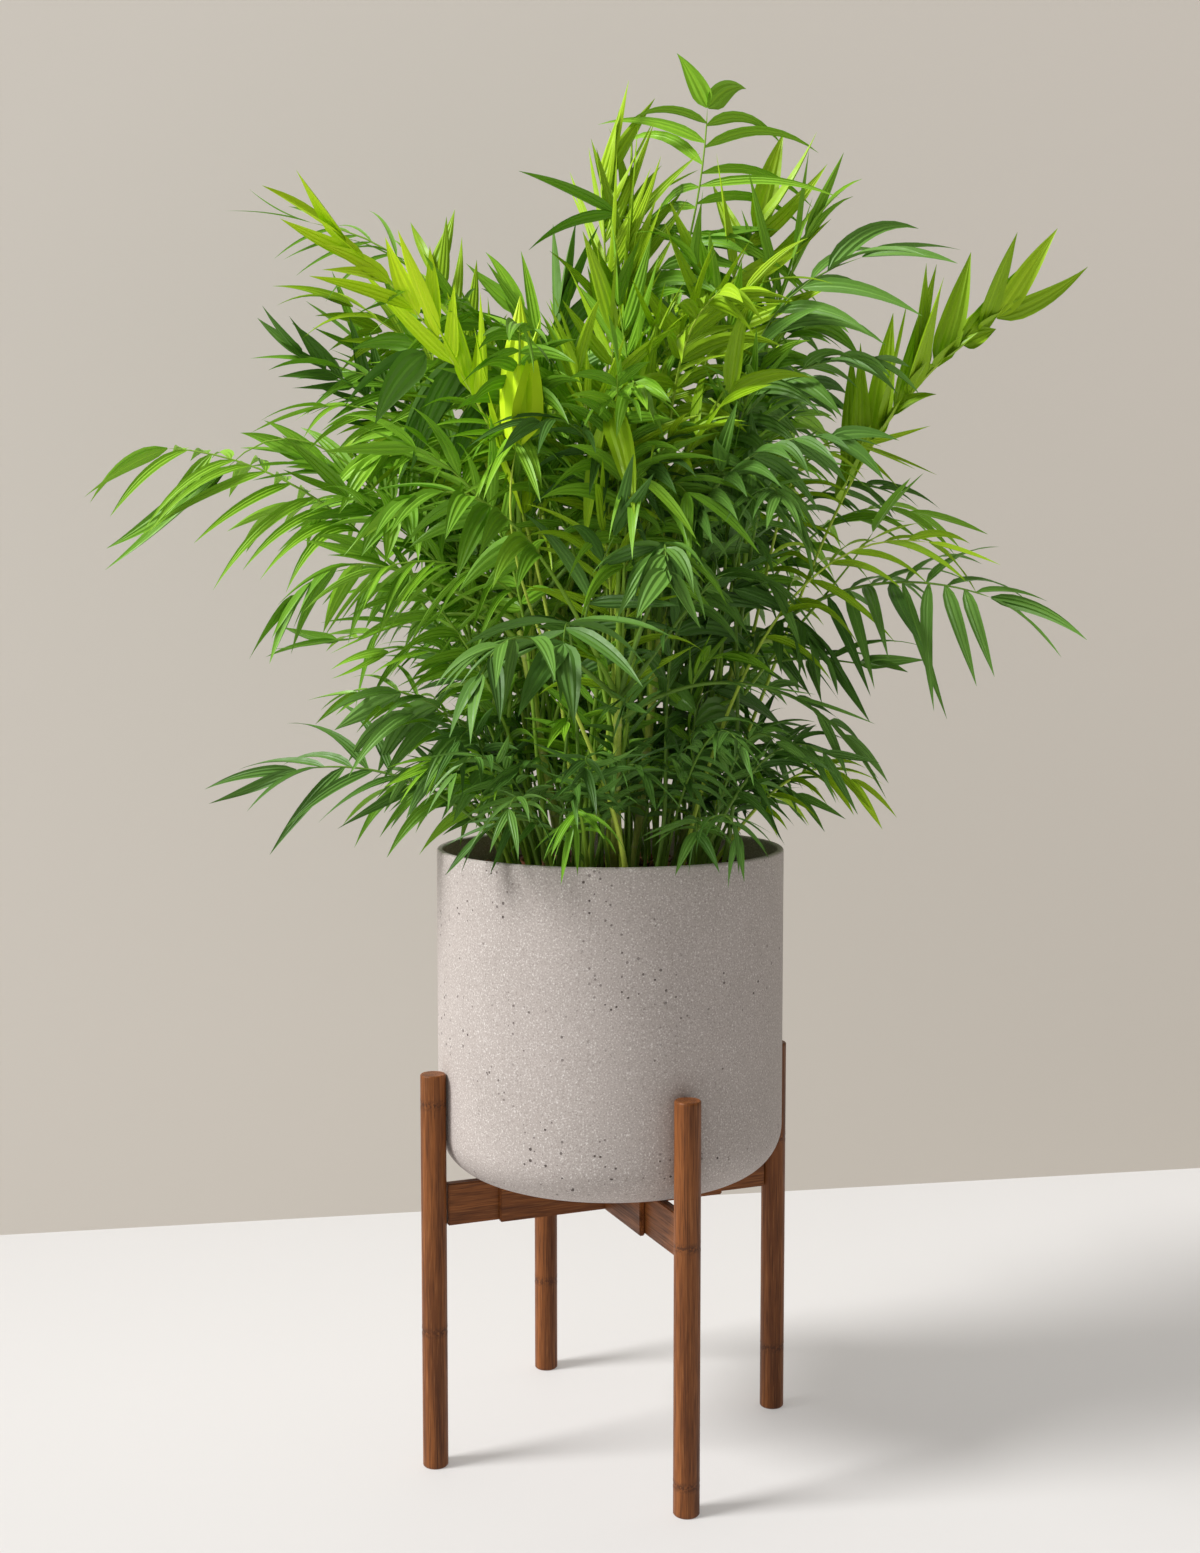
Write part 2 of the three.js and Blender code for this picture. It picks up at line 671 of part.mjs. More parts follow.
// The cane that leans most nearly towards a frond's tip and bears the fewest fronds so far.
function bearer(canes, tip) {
  const cost = (stem) => {
    const way = new THREE.Vector3(...tip).sub(stem.top).normalize();
    return way.angleTo(stem.lean) + LOAD_COST * stem.load;
  };
  return canes.reduce((best, stem) => (cost(stem) < cost(best) ? stem : best));
}

// How far a cane's flat-sided skin stands from its middle on one bearing.
function skinRadius(radius, out) {
  const flat = Math.PI / CANE_SIDES;
  const turn = Math.atan2(out.y, out.x) + 2 * Math.PI;
  return radius * Math.cos(flat) / Math.cos(turn % (2 * flat) - flat);
}

// The seat of a frond: on the side of its cane, lower for each frond that the cane bears.
function seatOnCane(canes, row) {
  const stem = bearer(canes, row.tip);
  stem.load += 1;
  const height = stem.height - SEAT_STEP * (stem.load - 0.4);
  const centre = caneCentre(stem, height);
  const out = new THREE.Vector3(...row.tip).sub(centre).setZ(0).normalize();
  const skin = skinRadius(caneRadius(stem, height), out);
  const reach = RIB_FOOT * Math.sin(radians(row.lead)) + SEAT_GAP;
  return along(centre, out, skin + reach);
}

function longFronds(canes) {
  return LONG_FRONDS.map((row) => {
    return completed(row, `frond_${row.name}`, seatOnCane(canes, row));
  });
}

// Long fronds over the back and sides, low and high by turns, close the crown all round.
function backFronds(canes) {
  const fronds = [];
  for (let k = 0; k < BACK_COUNT; k++) {
    const { reach, height, ...shape } = k % 2 ? BACK_HIGH : BACK_LOW;
    const bearing = bearingVector(lerp(...BACK_BEARINGS, k / (BACK_COUNT - 1)));
    const tip = along(new THREE.Vector3(0, 0, SOIL_Z + height), bearing, reach).toArray();
    const row = { tip, ...BACK_LEAF, ...shape };
    fronds.push(completed(row, `frond_back_${k + 1}`, seatOnCane(canes, row)));
  }
  return fronds;
}

// The crown stands higher on its right than on its left.
function crownHeight(x) {
  const share = THREE.MathUtils.smoothstep(x, -CROWN_STEP, CROWN_STEP);
  return lerp(CROWN_LEFT, CROWN_RIGHT, share);
}

function scatter(range, random) {
  return range * (random() - 0.5);
}

// The fronds on a cane's tip spread round the way it leans, from steep ones to level ones.
function topGroup(stem, random) {
  const node = `fronds_cane_${stem.k + 1}`;
  const foot = along(stem.top, UP, SEAT);
  const start = along(foot, UP, SHEATH_HEIGHT / 2);
  const fan = stem.k === 0 ? MIDDLE_FAN : TOP_FAN;
  const plain = {
    pairs: 4, hang: 0.45, blade: 0.68, broad: GROUP_BROAD, steps: GROUP_PETIOLE_STEPS,
    tone: TOP_TONES[stem.k % TOP_TONES.length],
  };
  const fronds = TOP_SLOPES.map((plainSlope, k) => {
    const turn = TOP_TURNS[k] * fan + scatter(TOP_SCATTER, random);
    const bearing = stem.bearing.clone().applyAxisAngle(UP, radians(turn));
    const slope = plainSlope + scatter(TOP_SLOPE_SCATTER, random);
    const plainReach = lerp(TOP_REACH_SHORT, TOP_REACH_TALL, slope / 90);
    const reach = plainReach * lerp(...TOP_REACH_SCATTER, random());
    const tip = along(start, slopeVector(bearing, slope), reach);
    tip.z = Math.min(tip.z, crownHeight(tip.x));
    const lead = Math.min(TOP_LEAD_LIMIT, slope + TOP_LEAD);
    const leaf = lerp(...TOP_LEAF, random());
    const row = { ...plain, tip: tip.toArray(), lead, rise: slope - TOP_DROOP, leaf };
    return completed(row, node, start);
  });
  return { node, foot, fronds };
}

// Short shoots round the foot of the clump: three fronds spill over the rim, one stands up.
function tuft(k, random) {
  const node = `tuft_${k + 1}`;
  const radial = bearingVector(360 * (k + TUFT_FIRST) / TUFT_COUNT);
  const foot = along(new THREE.Vector3(0, 0, SOIL_Z + SEAT), radial, TUFT_RING);
  const start = along(foot, UP, SHEATH_HEIGHT / 2);
  const plain = {
    pairs: 4, hang: 0.4, blade: 0.72, broad: GROUP_BROAD, stout: 0.85,
    steps: GROUP_PETIOLE_STEPS,
  };
  const shoot = (habit, turn, look) => {
    const bearing = radial.clone().applyAxisAngle(UP, radians(turn));
    const reach = TUFT_REACH * lerp(...habit.reach, random());
    const tip = along(along(start, bearing, reach), UP, lerp(...habit.lift, random())).toArray();
    return completed({ ...plain, ...look, tip, lead: habit.lead, rise: habit.rise }, node, start);
  };
  const fronds = TUFT_TURNS.map((spread) => {
    return shoot(TUFT_SPILL, spread + scatter(TUFT_SCATTER, random), { leaf: 56, tone: "deep" });
  });
  fronds.push(shoot(TUFT_UPRIGHT, 0, { leaf: 68, tone: "mid" }));
  return { node, foot, fronds };
}

function sheathRings(group) {
  const top = along(group.foot, UP, SHEATH_HEIGHT);
  return [ring(group.foot, SHEATH_RADIUS, SHEATH_SIDES), ring(top, SHEATH_TIP_RADIUS, SHEATH_SIDES)];
}

function buildPlant() {
  const random = seeded(SEED);
  takeRimAndSoil();
  const canes = [];
  for (let k = 0; k < CANE_COUNT; k++) {
    canes.push(cane(k));
  }
  for (const stem of canes) {
    const rings = caneRings(stem);
    takeTube(rings, "cane");
    addMesh(`cane_${stem.k + 1}`, ringTube(rings).geometry(), "cane");
  }
  const single = [...longFronds(canes), ...backFronds(canes)];
  const groups = canes.map((stem) => topGroup(stem, random));
  for (let k = 0; k < TUFT_COUNT; k++) {
    groups.push(tuft(k, random));
  }
  for (const group of groups) {
    takeTube(sheathRings(group), group.node);
  }
  const settled = single.filter(settleRib);
  for (const group of groups) {
    group.fronds = group.fronds.filter(settleRib);
  }
  for (const frond of settled) {
    addMesh(frond.node, frondBody(frond).geometry(), frond.tone);
  }
  for (const group of groups) {
    let solid = solidOf(ringTube(sheathRings(group)).geometry());
    for (const frond of group.fronds) {
      solid = solid.add(solidOf(frondBody(frond).geometry()));
    }
    addMesh(group.node, geometryOf(solid), group.fronds[0].tone);
  }
}

buildStand();
buildPot();
buildPlant();

// The origin is on the floor, under the middle of the whole plant's bounding box.
plant.updateMatrixWorld(true);
const box = new THREE.Box3().setFromObject(plant, true);
const middle = box.getCenter(new THREE.Vector3());
plant.position.set(-middle.x, -middle.y, -box.min.z);
plant.updateMatrixWorld(true);

export default plant;
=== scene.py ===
"""A parlour palm in a stone pot on a bamboo stand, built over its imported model.

Lengths are millimetres from the pot's axis on the floor, with +Z up and the front facing -Y.
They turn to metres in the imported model's frame when a piece is placed.
"""
import math
from dataclasses import dataclass, replace

import bmesh
import bpy
import numpy as np
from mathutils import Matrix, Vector


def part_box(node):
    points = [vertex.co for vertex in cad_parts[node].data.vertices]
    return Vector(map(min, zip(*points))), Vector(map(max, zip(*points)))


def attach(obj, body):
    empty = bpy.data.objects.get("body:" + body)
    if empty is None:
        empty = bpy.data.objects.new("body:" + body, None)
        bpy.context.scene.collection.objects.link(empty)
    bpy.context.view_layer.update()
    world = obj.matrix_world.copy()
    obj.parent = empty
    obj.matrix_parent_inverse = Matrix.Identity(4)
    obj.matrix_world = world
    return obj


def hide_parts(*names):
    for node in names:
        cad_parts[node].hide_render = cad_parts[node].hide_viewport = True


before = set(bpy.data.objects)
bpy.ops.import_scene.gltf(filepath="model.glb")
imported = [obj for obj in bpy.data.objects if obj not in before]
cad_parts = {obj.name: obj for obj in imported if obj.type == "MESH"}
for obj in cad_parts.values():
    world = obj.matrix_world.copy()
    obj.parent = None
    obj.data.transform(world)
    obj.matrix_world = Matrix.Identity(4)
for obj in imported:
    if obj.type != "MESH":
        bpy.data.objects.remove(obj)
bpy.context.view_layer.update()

MM = 0.001
UP = np.array([0.0, 0.0, 1.0])
SEED = 5285

# The pot's axis, radius and heights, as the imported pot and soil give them
pot_low, pot_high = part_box("pot")
AXIS = np.array([(pot_low.x + pot_high.x) / 2, (pot_low.y + pot_high.y) / 2, 0.0])
POT_RADIUS = (pot_high.x - pot_low.x) / 2 / MM
POT_FOOT = pot_low.z / MM
RIM_Z = pot_high.z / MM
SOIL_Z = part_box("soil")[1].z / MM

# Pot and soil
POT_WALL = 6
POT_FLOOR = 8
POT_CORNER = 40
POT_SIDES = 160
WALL_STEPS = 12
CORNER_STEPS = 14
RIM_ROUND = 2.2
RIM_STEPS = 4
LATHE_END = 0.01        # the radius that closes the ends of a turned body
SEAT = 0.3              # the gap between the soil and the pot, and under each stem
ROOT_Z = SOIL_Z + SEAT  # where canes and fronds stand on the soil
SOIL_RINGS = 40
SOIL_SIDE_STEPS = 4
SOIL_SWELL = 3.5
SOIL_LUMPS = (17, 13)
SOIL_RIPPLES = (6, 9, 4)
SOIL_RIPPLE_SHARES = (0.6, 0.4)
SOIL_EDGE = 8           # how sharply the lumps die away at the wall
CHIP_COUNT = 1500
CHIP_REACH = 139
CHIP_LENGTH = (5, 17)
CHIP_BREADTH = (0.3, 0.6)       # a share of a chip's length, as its thickness is
CHIP_THICKNESS = (0.12, 0.28)
CHIP_ROUGH = 0.16
CHIP_TILT = 0.35
CHIP_LIFT = 1.5

# Stand
STAND_BEARING = -67.8
LEG_SIDES = 48
LEG_RINGS = 150
LEG_CHAMFER = 1.0
LEG_EDGE = 0.5
LEG_NODE_PITCH = 196
LEG_NODE_FIRST = 26     # the first leg's lowest node, and how much higher the next leg's is
LEG_NODE_STEP = 31
LEG_NODE_HEIGHT = 0.15
LEG_GROOVE_WIDTH = 1.3
LEG_RIDGE_WIDTH = 1.6
LEG_RIDGE_OFFSET = 2.4
BAR_BEVEL = 0.9
BAR_BEVEL_STEPS = 2
BAR_FLAT = 0.01         # faces that turn by less, in radians, are one flat face
BAR_WELD = 0.001
CORNERS = ("front_right", "back_right", "back_left", "front_left")
BARS = ("cross_bar_front_back", "cross_bar_left_right")

# Canes, by the source's rule
CANE_COUNT = 9
CANE_SPACING = 24
CANE_FOOT_RADIUS = 3.9
CANE_TIP_RADIUS = 3.0
CANE_FLARE = 1.3
CANE_FLARE_HEIGHT = 14
CANE_SHORT = 165
CANE_TALL = 265
CANE_UNEVEN = 34
CANE_UNEVEN_TURN = 2.4
CANE_SPLAY = 1.95
CANE_TILT = 4
CANE_FIRST_BEARING = 30
GOLDEN_ANGLE = 137.508
CANE_SIDES = 14
CANE_RING_PITCH = 2.5
CANE_NODE_PITCH = 27
CANE_NODE_HEIGHT = 0.55
CANE_NODE_WIDTH = 1.6
CANE_CAP = 2.0
TUBE_END = 0.05         # the radius that closes the ends of a cane or rib
CANE_SHADE = 0.75       # how far a cane darkens at the soil
CANE_SHADE_HEIGHT = 110

# Fronds, by the source's rule
RIB_FOOT = 2.2
RIB_TIP = 0.6
RIB_SIDES = 6
RIB_SAMPLES = 49
RIB_STATIONS = 26
SHEATH_SWELL = 0.9
SHEATH_SHARE = 0.09
OPEN_ANGLE = 60
CLOSED_ANGLE = 26
LEAD_LIMIT = 88
FAN_ANGLE = 14
LEAF_LIFT = 14
LEAF_DROOP = 48
LEAF_DROOP_EASE = 0.5
LEAF_FALL = 2.3
LEAF_FALL_EASE = 0.6
LEAF_FALL_POWER = 1.15
LEAF_SWELL = (0.58, 0.2, 0.74)      # the least length, and the part of a half wave that adds to it
TERMINAL_REACH = 0.8
LEAD_ARM = 0.4
TIP_ARM = 0.35
ROLL_START = 0.5        # the share of a blade's turn that it has at its foot
SEAT_STEP = 15
SEAT_RAISE = 0.4
SEAT_DEPTH = 0.5
LOAD_COST = 0.16

# Finer leaflets than the source's, within the same reach
LEAF_PITCH = 0.24       # from leaflet to leaflet, as a share of their length
LEAF_SLENDER = 0.122    # their breadth, as a share of their length
LEAF_ROWS = 10
LEAF_ACROSS = np.array([-1.0, -0.62, -0.32, -0.09, 0.09, 0.32, 0.62, 1.0]) / 2
LEAF_RELIEF = np.array([-0.20, -0.05, -0.10, -0.03, -0.03, -0.10, -0.05, -0.20])
MIDRIB = 3              # the strip of a leaflet that is its midrib
LEAF_WIDEST = 0.22
LEAF_SHOULDER = 0.8
LEAF_TAPER = (1.9, 1.15)
LEAF_ROOT_SHARE = 0.16
LEAF_TIP_SHARE = 0.012
LEAF_SWEEP = 0.35
LEAF_STAGGER = 0.3
LEAF_LENGTHS = (0.82, 1.12)
LEAF_WIDTHS = (0.8, 1.15)
OPEN_SCATTER = 10
LIFT_SCATTER = 14
FALL_SCATTER = 0.35
TWIST_SCATTER = 0.6

# Groups of fronds on the canes' tips, tufts round the foot and fronds on the back
TOP_SLOPES = (66, 46, 28, 10, -8)
TOP_TURNS = (-0.1, 0.55, -0.7, 1, -0.35)        # as shares of the fan
TOP_TONES = ("mid", "deep", "light", "mid", "deep")
TOP_FAN = 105
TOP_SCATTER = 26
TOP_SLOPE_SCATTER = 16
TOP_LEAD = 32
TOP_LEAD_LIMIT = 84
TOP_DROOP = 50
TOP_HANG = 0.8
TOP_BLADE = 0.56
MIDDLE_FAN = 180
TOP_REACH_SHORT = 225
TOP_REACH_TALL = 345
TOP_REACH_SCATTER = (0.92, 1.08)
TOP_LEAF = (66, 82)
TOP_BROAD = (1.7, 0.95, 1.35)
SHEATH_HEIGHT = 16
CROWN_LEFT = 985        # the height of the crown on the left and on the right
CROWN_RIGHT = 1075
CROWN_STEP = 30
HOLLOW_WIDTH = 176      # how far the crown reaches to the right under the right arch
HOLLOW_TOP = 765
TUFT_COUNT = 6
TUFT_FIRST = 0.35
TUFT_TURNS = (-54, 0, 54)
TUFT_SCATTER = 16
TUFT_RING = 96
TUFT_REACH = 135
TUFT_HANG = 0.4
TUFT_STOUT = 0.85
TUFT_BLADE = 0.7
TUFT_SPILLING = {"reach": (0.68, 0.98), "lift": (8, 90), "lead": 72, "rise": -44, "leaf": 56,
                 "tone": "deep"}
TUFT_UPRIGHT = {"reach": (0.5, 0.8), "lift": (185, 185), "lead": 84, "rise": 4, "leaf": 68,
                "tone": "mid"}
BACK_COUNT = 5
BACK_BEARINGS = (22, 158)

# Finer fronds that fill the crown between the long ones
FILL_COUNT = 88
FILL_CENTRE = np.array([-14.0, 0.0, 780.0])
FILL_HALF = (284.0, 258.0)
FILL_ABOVE = 305.0
FILL_BELOW = 240.0
FILL_POWER = 2.4
FILL_SINES = (-0.62, 1.0)
FILL_DEPTHS = (0.5, 1.0)
FILL_DEPTH_POWER = 0.6
FILL_SCATTER = 30
FILL_SEATS = (0.1, 0.85)
FILL_RING = 100
FILL_RING_SCATTER = 130
FILL_RISE = 16
FILL_BLADE = 190.0
FILL_BLADE_SHARES = (0.38, 0.66)
FILL_UPRIGHT = 0.62
FILL_LEAD_SCATTER = 16
FILL_ARCH = (52, 26)
FILL_ARCH_SCATTER = 36
FILL_ROLL = 100
FILL_HANG = (1.1, 0.35)
CREST_FOOT = -52
OPEN_FRONT = 56.0       # half the breadth in degrees of the gap in front, and its top
OPEN_HEIGHT = 820.0
TONE_SCATTER = 0.5
TONE_LIT_SIDE = 0.2         # how much brighter the leaves are painted on the left, where the key light falls: painted light
TONE_STEPS = (0.53, 0.98)
OWN_SHADE = 0.75        # the share of a frond's leaflets that have its own shade

# Small-leaved shoots round the canes' feet
SHOOT_COUNT = 38
SHOOT_RING = 88
SHOOT_REACH = (110, 215)
SHOOT_SCATTER = 60
SHOOT_SLOPES = (20, 66)
SHOOT_LEAD = 45
SHOOT_LEAD_LIMIT = 86
SHOOT_DROOP = 70
SHOOT_LEAF = (40, 62)
SHOOT_HANG = (0.3, 0.7)
SHOOT_STOUT = 0.7
SHOOT_BLADE = 0.66
SHOOT_ROLL = 50
SHOOT_DEEP = 0.75

# Stage, light and camera, as fitted to the photo
CAMERA_PLACE = (-8.8, -1583.9, 709.8)
CAMERA_PITCH = 4.45
FOCAL_PIXELS = 1835.4
FRAME_HEIGHT = 1553
SENSOR = 36.0
CAMERA_REACH = 100      # in metres
WALL_LEFT = (-719, 540)         # two points on the line where the wall meets the floor
WALL_RIGHT = (791, 814)
WALL_SPAN = 9000
WALL_HEIGHT = 6000
WALL_GLOW = 0.49
# The wall is painted darker to the right and downwards: painted shade between a lit and a shaded
# wall colour
WALL_SHADE_SPAN = (-1.9, 1.0)         # where the wall's painted shade begins and where it is full, in metres
WALL_SHADE_SLOPE = -1.0
WALL_LIT_AND_SHADED = ((0.53, 0.495, 0.45), (0.44, 0.405, 0.357))
FLOOR_COLOUR = (0.515, 0.507, 0.501)
FLOOR_GLOW = 0.47
FLOOR_SPAN = 30000
# Each light's bearing, slope and softness in degrees, its strength and its colour
LIGHTS = {
    "key": (198, 44, 18, 3.55, (1.0, 0.99, 0.98)),
    "fill": (205, 45, 100, 0.55, (1.0, 1.0, 1.0)),
}
SKY_COLOUR = (1.0, 0.94, 0.88)
SKY_STRENGTH = 0.19


@dataclass
class Frond:
    """A frond, from its seat to tip, where its last leaflets end. Slopes and turns are degrees."""

    tip: tuple
    lead: float             # the rib's slope at its foot
    rise: float             # the rib's slope at its end
    leaf: float             # the length of its middle leaflets
    hang: float             # how far its leaflets fall
    spread: float = 1.0     # how far they open from the rib
    turn: float = 0.0       # the blade's turn about its rib
    broad: float = 1.0
    stout: float = 1.0
    blade: float = 0.62     # the share of the rib that bears leaflets
    pitch: float = LEAF_PITCH
    fan: float = 1.15       # the breadth of the last pair beside the others
    end: float = TERMINAL_REACH
    gape: float = FAN_ANGLE
    closed: float = CLOSED_ANGLE    # how far the leaflets near the tip open
    left: float = 1.0       # the length of the leaflets on each side
    right: float = 1.0
    tone: str = "mid"
    seed: int = 0
    foot: tuple = ()        # where it grows from the soil, if not from a cane
    start: tuple = (0, 0, 0)
    name: str = ""
    node: str = ""

    def random(self):
        """The frond's own run of random numbers, whatever the others draw."""
        return np.random.default_rng(int.from_bytes(f"{self.name}{self.seed}".encode(), "big"))


@dataclass
class Kind:
    """The leaflets of a kind of frond: how long, broad and hanging, how close and how bright."""

    leaf: tuple
    broad: tuple
    hang: tuple
    pitch: float
    bright: float


FILL_KINDS = (
    Kind(leaf=(88, 120), broad=(1.1, 1.6), hang=(0.5, 1.4), pitch=0.34, bright=-0.15),
    Kind(leaf=(78, 104), broad=(0.42, 0.62), hang=(0.6, 1.8), pitch=0.19, bright=0.15),
    Kind(leaf=(74, 98), broad=(0.8, 1.15), hang=(0.3, 1.2), pitch=0.24, bright=0.0),
    Kind(leaf=(58, 78), broad=(0.6, 0.85), hang=(0.3, 1.0), pitch=0.22, bright=0.05),
)

LONG_FRONDS = {
    "star": Frond((-40, -270, 642), 84, -50, 98, 0.35, spread=1.75, broad=1.6, tone="deep",
                  blade=0.2, pitch=0.14, foot=(-24, -66)),
    "left_arch": Frond((-487, 20, 876), 80, 4, 114, 0.8, turn=-32, right=0.55, spread=1.1,
                       broad=0.82, blade=0.4, pitch=0.17, fan=0.85, end=0.95, closed=44,
                       foot=(-66, -30)),
    "spear": Frond((-266, -150, 1058), 84, 36, 98, -0.1, spread=0.42, turn=-95, broad=1.3,
                   pitch=0.23, blade=0.5, right=0.72, tone="fresh", foot=(-24, -66)),
    "cleft_leaf": Frond((-46, -150, 974), 84, 104, 158, -0.2, pitch=0, spread=0.6, broad=1.85,
                        turn=70, gape=14, tone="fresh", foot=(14, -118)),
    "crown_top": Frond((84, 10, 1206), 86, 88, 124, 1.15, turn=85, broad=0.6, spread=1.1,
                       fan=2.0, blade=0.5, pitch=0.14, end=0.42, gape=22, closed=54, seed=6),
    "right_high": Frond((417, 30, 1036), 60, 33, 124, -0.1, spread=0.3, turn=65, right=0.3,
                        broad=1.45, pitch=0.14, blade=0.4, fan=0.95, tone="light",
                        foot=(62, 20)),
    "right_arch": Frond((378, -150, 708), 54, -20, 112, 0.65, spread=1.15, turn=50, broad=0.74,
                        pitch=0.15, blade=0.64, left=0.9, closed=54, tone="deep", seed=40),
    "right_bright": Frond((324, -90, 772), 78, -10, 84, 0.6, turn=30, broad=0.7, tone="light",
                          blade=0.5, foot=(56, -70)),
    "right_dark": Frond((290, -80, 1036), 76, 14, 112, 0.8, turn=45, blade=0.36, tone="deep",
                        foot=(92, -50)),
    "low_left": Frond((-342, -50, 582), 62, -10, 100, 0.5, turn=-50, broad=0.85, blade=0.54,
                      pitch=0.2, tone="deep", foot=(-74, -50)),
    "mid_left": Frond((-296, 30, 694), 45, -8, 84, 0.25, turn=-40, broad=0.9),
    "low_right": Frond((232, -60, 584), 38, -46, 74, 0.4, turn=24, left=0.75, tone="deep"),
    "right_middle": Frond((262, -90, 676), 44, -8, 80, 0.2, turn=45, blade=0.5, tone="deep"),
    "left_dark": Frond((-311, -20, 966), 66, 22, 72, 0.2, turn=-60, broad=1.3, tone="deep"),
    "left_upright": Frond((-178, 40, 1080), 84, 68, 84, 0.1, turn=60, broad=1.2, tone="light"),
    "right_fan": Frond((160, 40, 1128), 80, 58, 112, -0.1, spread=1.1, turn=75, broad=1.25,
                       blade=0.4, tone="light"),
    "bright_tuft": Frond((-14, 20, 1176), 86, 84, 104, -0.1, spread=0.66, turn=80, broad=0.85,
                         blade=0.46, pitch=0.13, tone="light"),
    "right_upright": Frond((203, 20, 1114), 78, 62, 100, 0.1, spread=0.35, broad=0.8, blade=0.3),
    "left_upper": Frond((-268, 60, 1004), 70, 40, 82, 0.1, turn=-50),
}

# Shorter fronds in front of and between the long ones
SHORT_FRONDS = {
    "left_fine": Frond((-306, -40, 892), 70, -6, 88, 0.9, turn=-30, broad=0.6, foot=(-84, -10)),
    "spear_thin": Frond((-318, 0, 1066), 84, 10, 84, 0.6, turn=-40, broad=0.45, blade=0.34,
                        foot=(-50, -40)),
    "left_lobes": Frond((-324, 10, 876), 84, 16, 84, 0.3, turn=-50, broad=1.45, blade=0.42,
                        pitch=0.2, foot=(-66, -20)),
    "arch_leaf": Frond((-434, 10, 742), 82, -46, 190, 0.1, pitch=0, turn=-60, gape=3, broad=0.75,
                       seed=7, foot=(-60, -10)),
    "crown_leaf": Frond((-74, 0, 1080), 88, 12, 100, 0.3, pitch=0, turn=-50, broad=0.8, gape=6,
                        foot=(40, 0)),
    "crest_deep": Frond((-34, -20, 1056), 84, 70, 98, 0.3, spread=0.8, turn=-60, broad=1.3,
                        blade=0.4, tone="deep"),
    "crest_middle": Frond((-6, -40, 1056), 84, 80, 96, 0.2, spread=0.7, turn=70, broad=1.2,
                          blade=0.4),
    "tuft_pale": Frond((22, 30, 1152), 86, 80, 96, -0.1, spread=0.7, turn=75, broad=0.9,
                       blade=0.4, pitch=0.16, tone="light"),
    "left_crown": Frond((-300, -10, 944), 76, 8, 88, 0.8, turn=-40, broad=0.8, foot=(-80, 10)),
    "under_spear": Frond((-286, 10, 1018), 80, 24, 90, 0.6, turn=-50, broad=0.8,
                         foot=(-60, 20), tone="light"),
    "left_hanging": Frond((-226, -130, 918), 84, -10, 108, 1.7, turn=-60, broad=1.5, blade=0.36,
                          tone="deep"),
    "front_bow": Frond((-136, -110, 866), 80, 10, 82, 1.0, spread=1.3, broad=0.6, blade=0.45,
                       tone="light"),
    "low_small_left": Frond((-262, -50, 646), 74, -16, 66, 0.6, turn=-35, broad=0.75,
                            foot=(-66, -40)),
    "small_left": Frond((-238, -40, 676), 72, -20, 68, 0.7, turn=-35, broad=0.8,
                        foot=(-60, -20)),
    "low_hanging_left": Frond((-236, -40, 560), 62, -20, 84, 1.1, turn=-45, foot=(-74, -44)),
    "right_fine": Frond((275, -20, 846), 60, -20, 82, 0.8, turn=30, broad=0.45, tone="light"),
    "right_leaf": Frond((254, -60, 850), 60, 56, 84, 0.2, pitch=0, spread=0.5, broad=1.5),
    "right_low": Frond((214, -110, 584), 64, -34, 66, 0.6, turn=30, broad=0.8, tone="deep",
                       foot=(66, -62)),
    "right_yellow": Frond((240, -50, 556), 60, -40, 62, 0.7, turn=30, broad=0.9, tone="light",
                          foot=(80, -40)),
    "left_crest": Frond((-118, 30, 1042), 80, 52, 92, 0.0, spread=0.8, turn=-70, broad=1.1),
    "curl": Frond((-12, -190, 800), 86, -60, 120, 1.2, pitch=0, broad=1.2, tone="light"),
    "front_drop": Frond((34, -230, 776), 74, -44, 92, 0.9, spread=1.2, blade=0.5),
    "front_drop_right": Frond((92, -210, 772), 70, -40, 88, 0.9, turn=20, blade=0.5),
    "right_stem": Frond((140, -150, 950), 78, 46, 92, 0.4, turn=50, blade=0.24, tone="light",
                        foot=(-22, -80)),
    "top_bright": Frond((66, -90, 1000), 80, 50, 100, 0.5, turn=40, broad=0.9, blade=0.5,
                        tone="light"),
    "broad_leaf": Frond((18, -110, 960), 86, 84, 150, 0.1, pitch=0, spread=0.6, broad=1.3,
                        tone="light"),
    "centre_deep": Frond((60, -200, 850), 72, 10, 84, 0.9, turn=50, blade=0.36, tone="deep"),
    "centre_left": Frond((-84, -60, 872), 78, 14, 84, 0.9, turn=-50, broad=0.9, blade=0.36),
    "rim_left": Frond((-176, -110, 574), 70, -40, 54, 0.6, turn=-20, broad=0.9, foot=(-80, -50)),
    "rim_right": Frond((106, -192, 516), 76, -64, 54, 0.7, broad=0.8, tone="deep",
                       foot=(54, -84)),
    "rim_front": Frond((-31, -206, 524), 70, -60, 58, 0.7, broad=0.9, foot=(-18, -96)),
    "rim_front_left": Frond((-90, -186, 536), 66, -54, 58, 0.7, broad=0.9, tone="deep",
                            foot=(-48, -84)),
    "rim_far_right": Frond((152, -60, 540), 62, -50, 54, 0.6, broad=0.9, tone="deep",
                           foot=(80, -30)),
}
BACK_LOW = Frond((375, 0, 300), 56, -16, 92, 0.6)
BACK_HIGH = Frond((284, 0, 480), 72, 24, 92, 0.6, tone="light")

# The nodes that the leaf pieces of each tone stand for
TONE_OF_GROUP = {**{f"fronds_cane_{k + 1}": TOP_TONES[k % len(TOP_TONES)]
                    for k in range(CANE_COUNT)},
                 **{f"tuft_{k + 1}": "deep" for k in range(TUFT_COUNT)}}

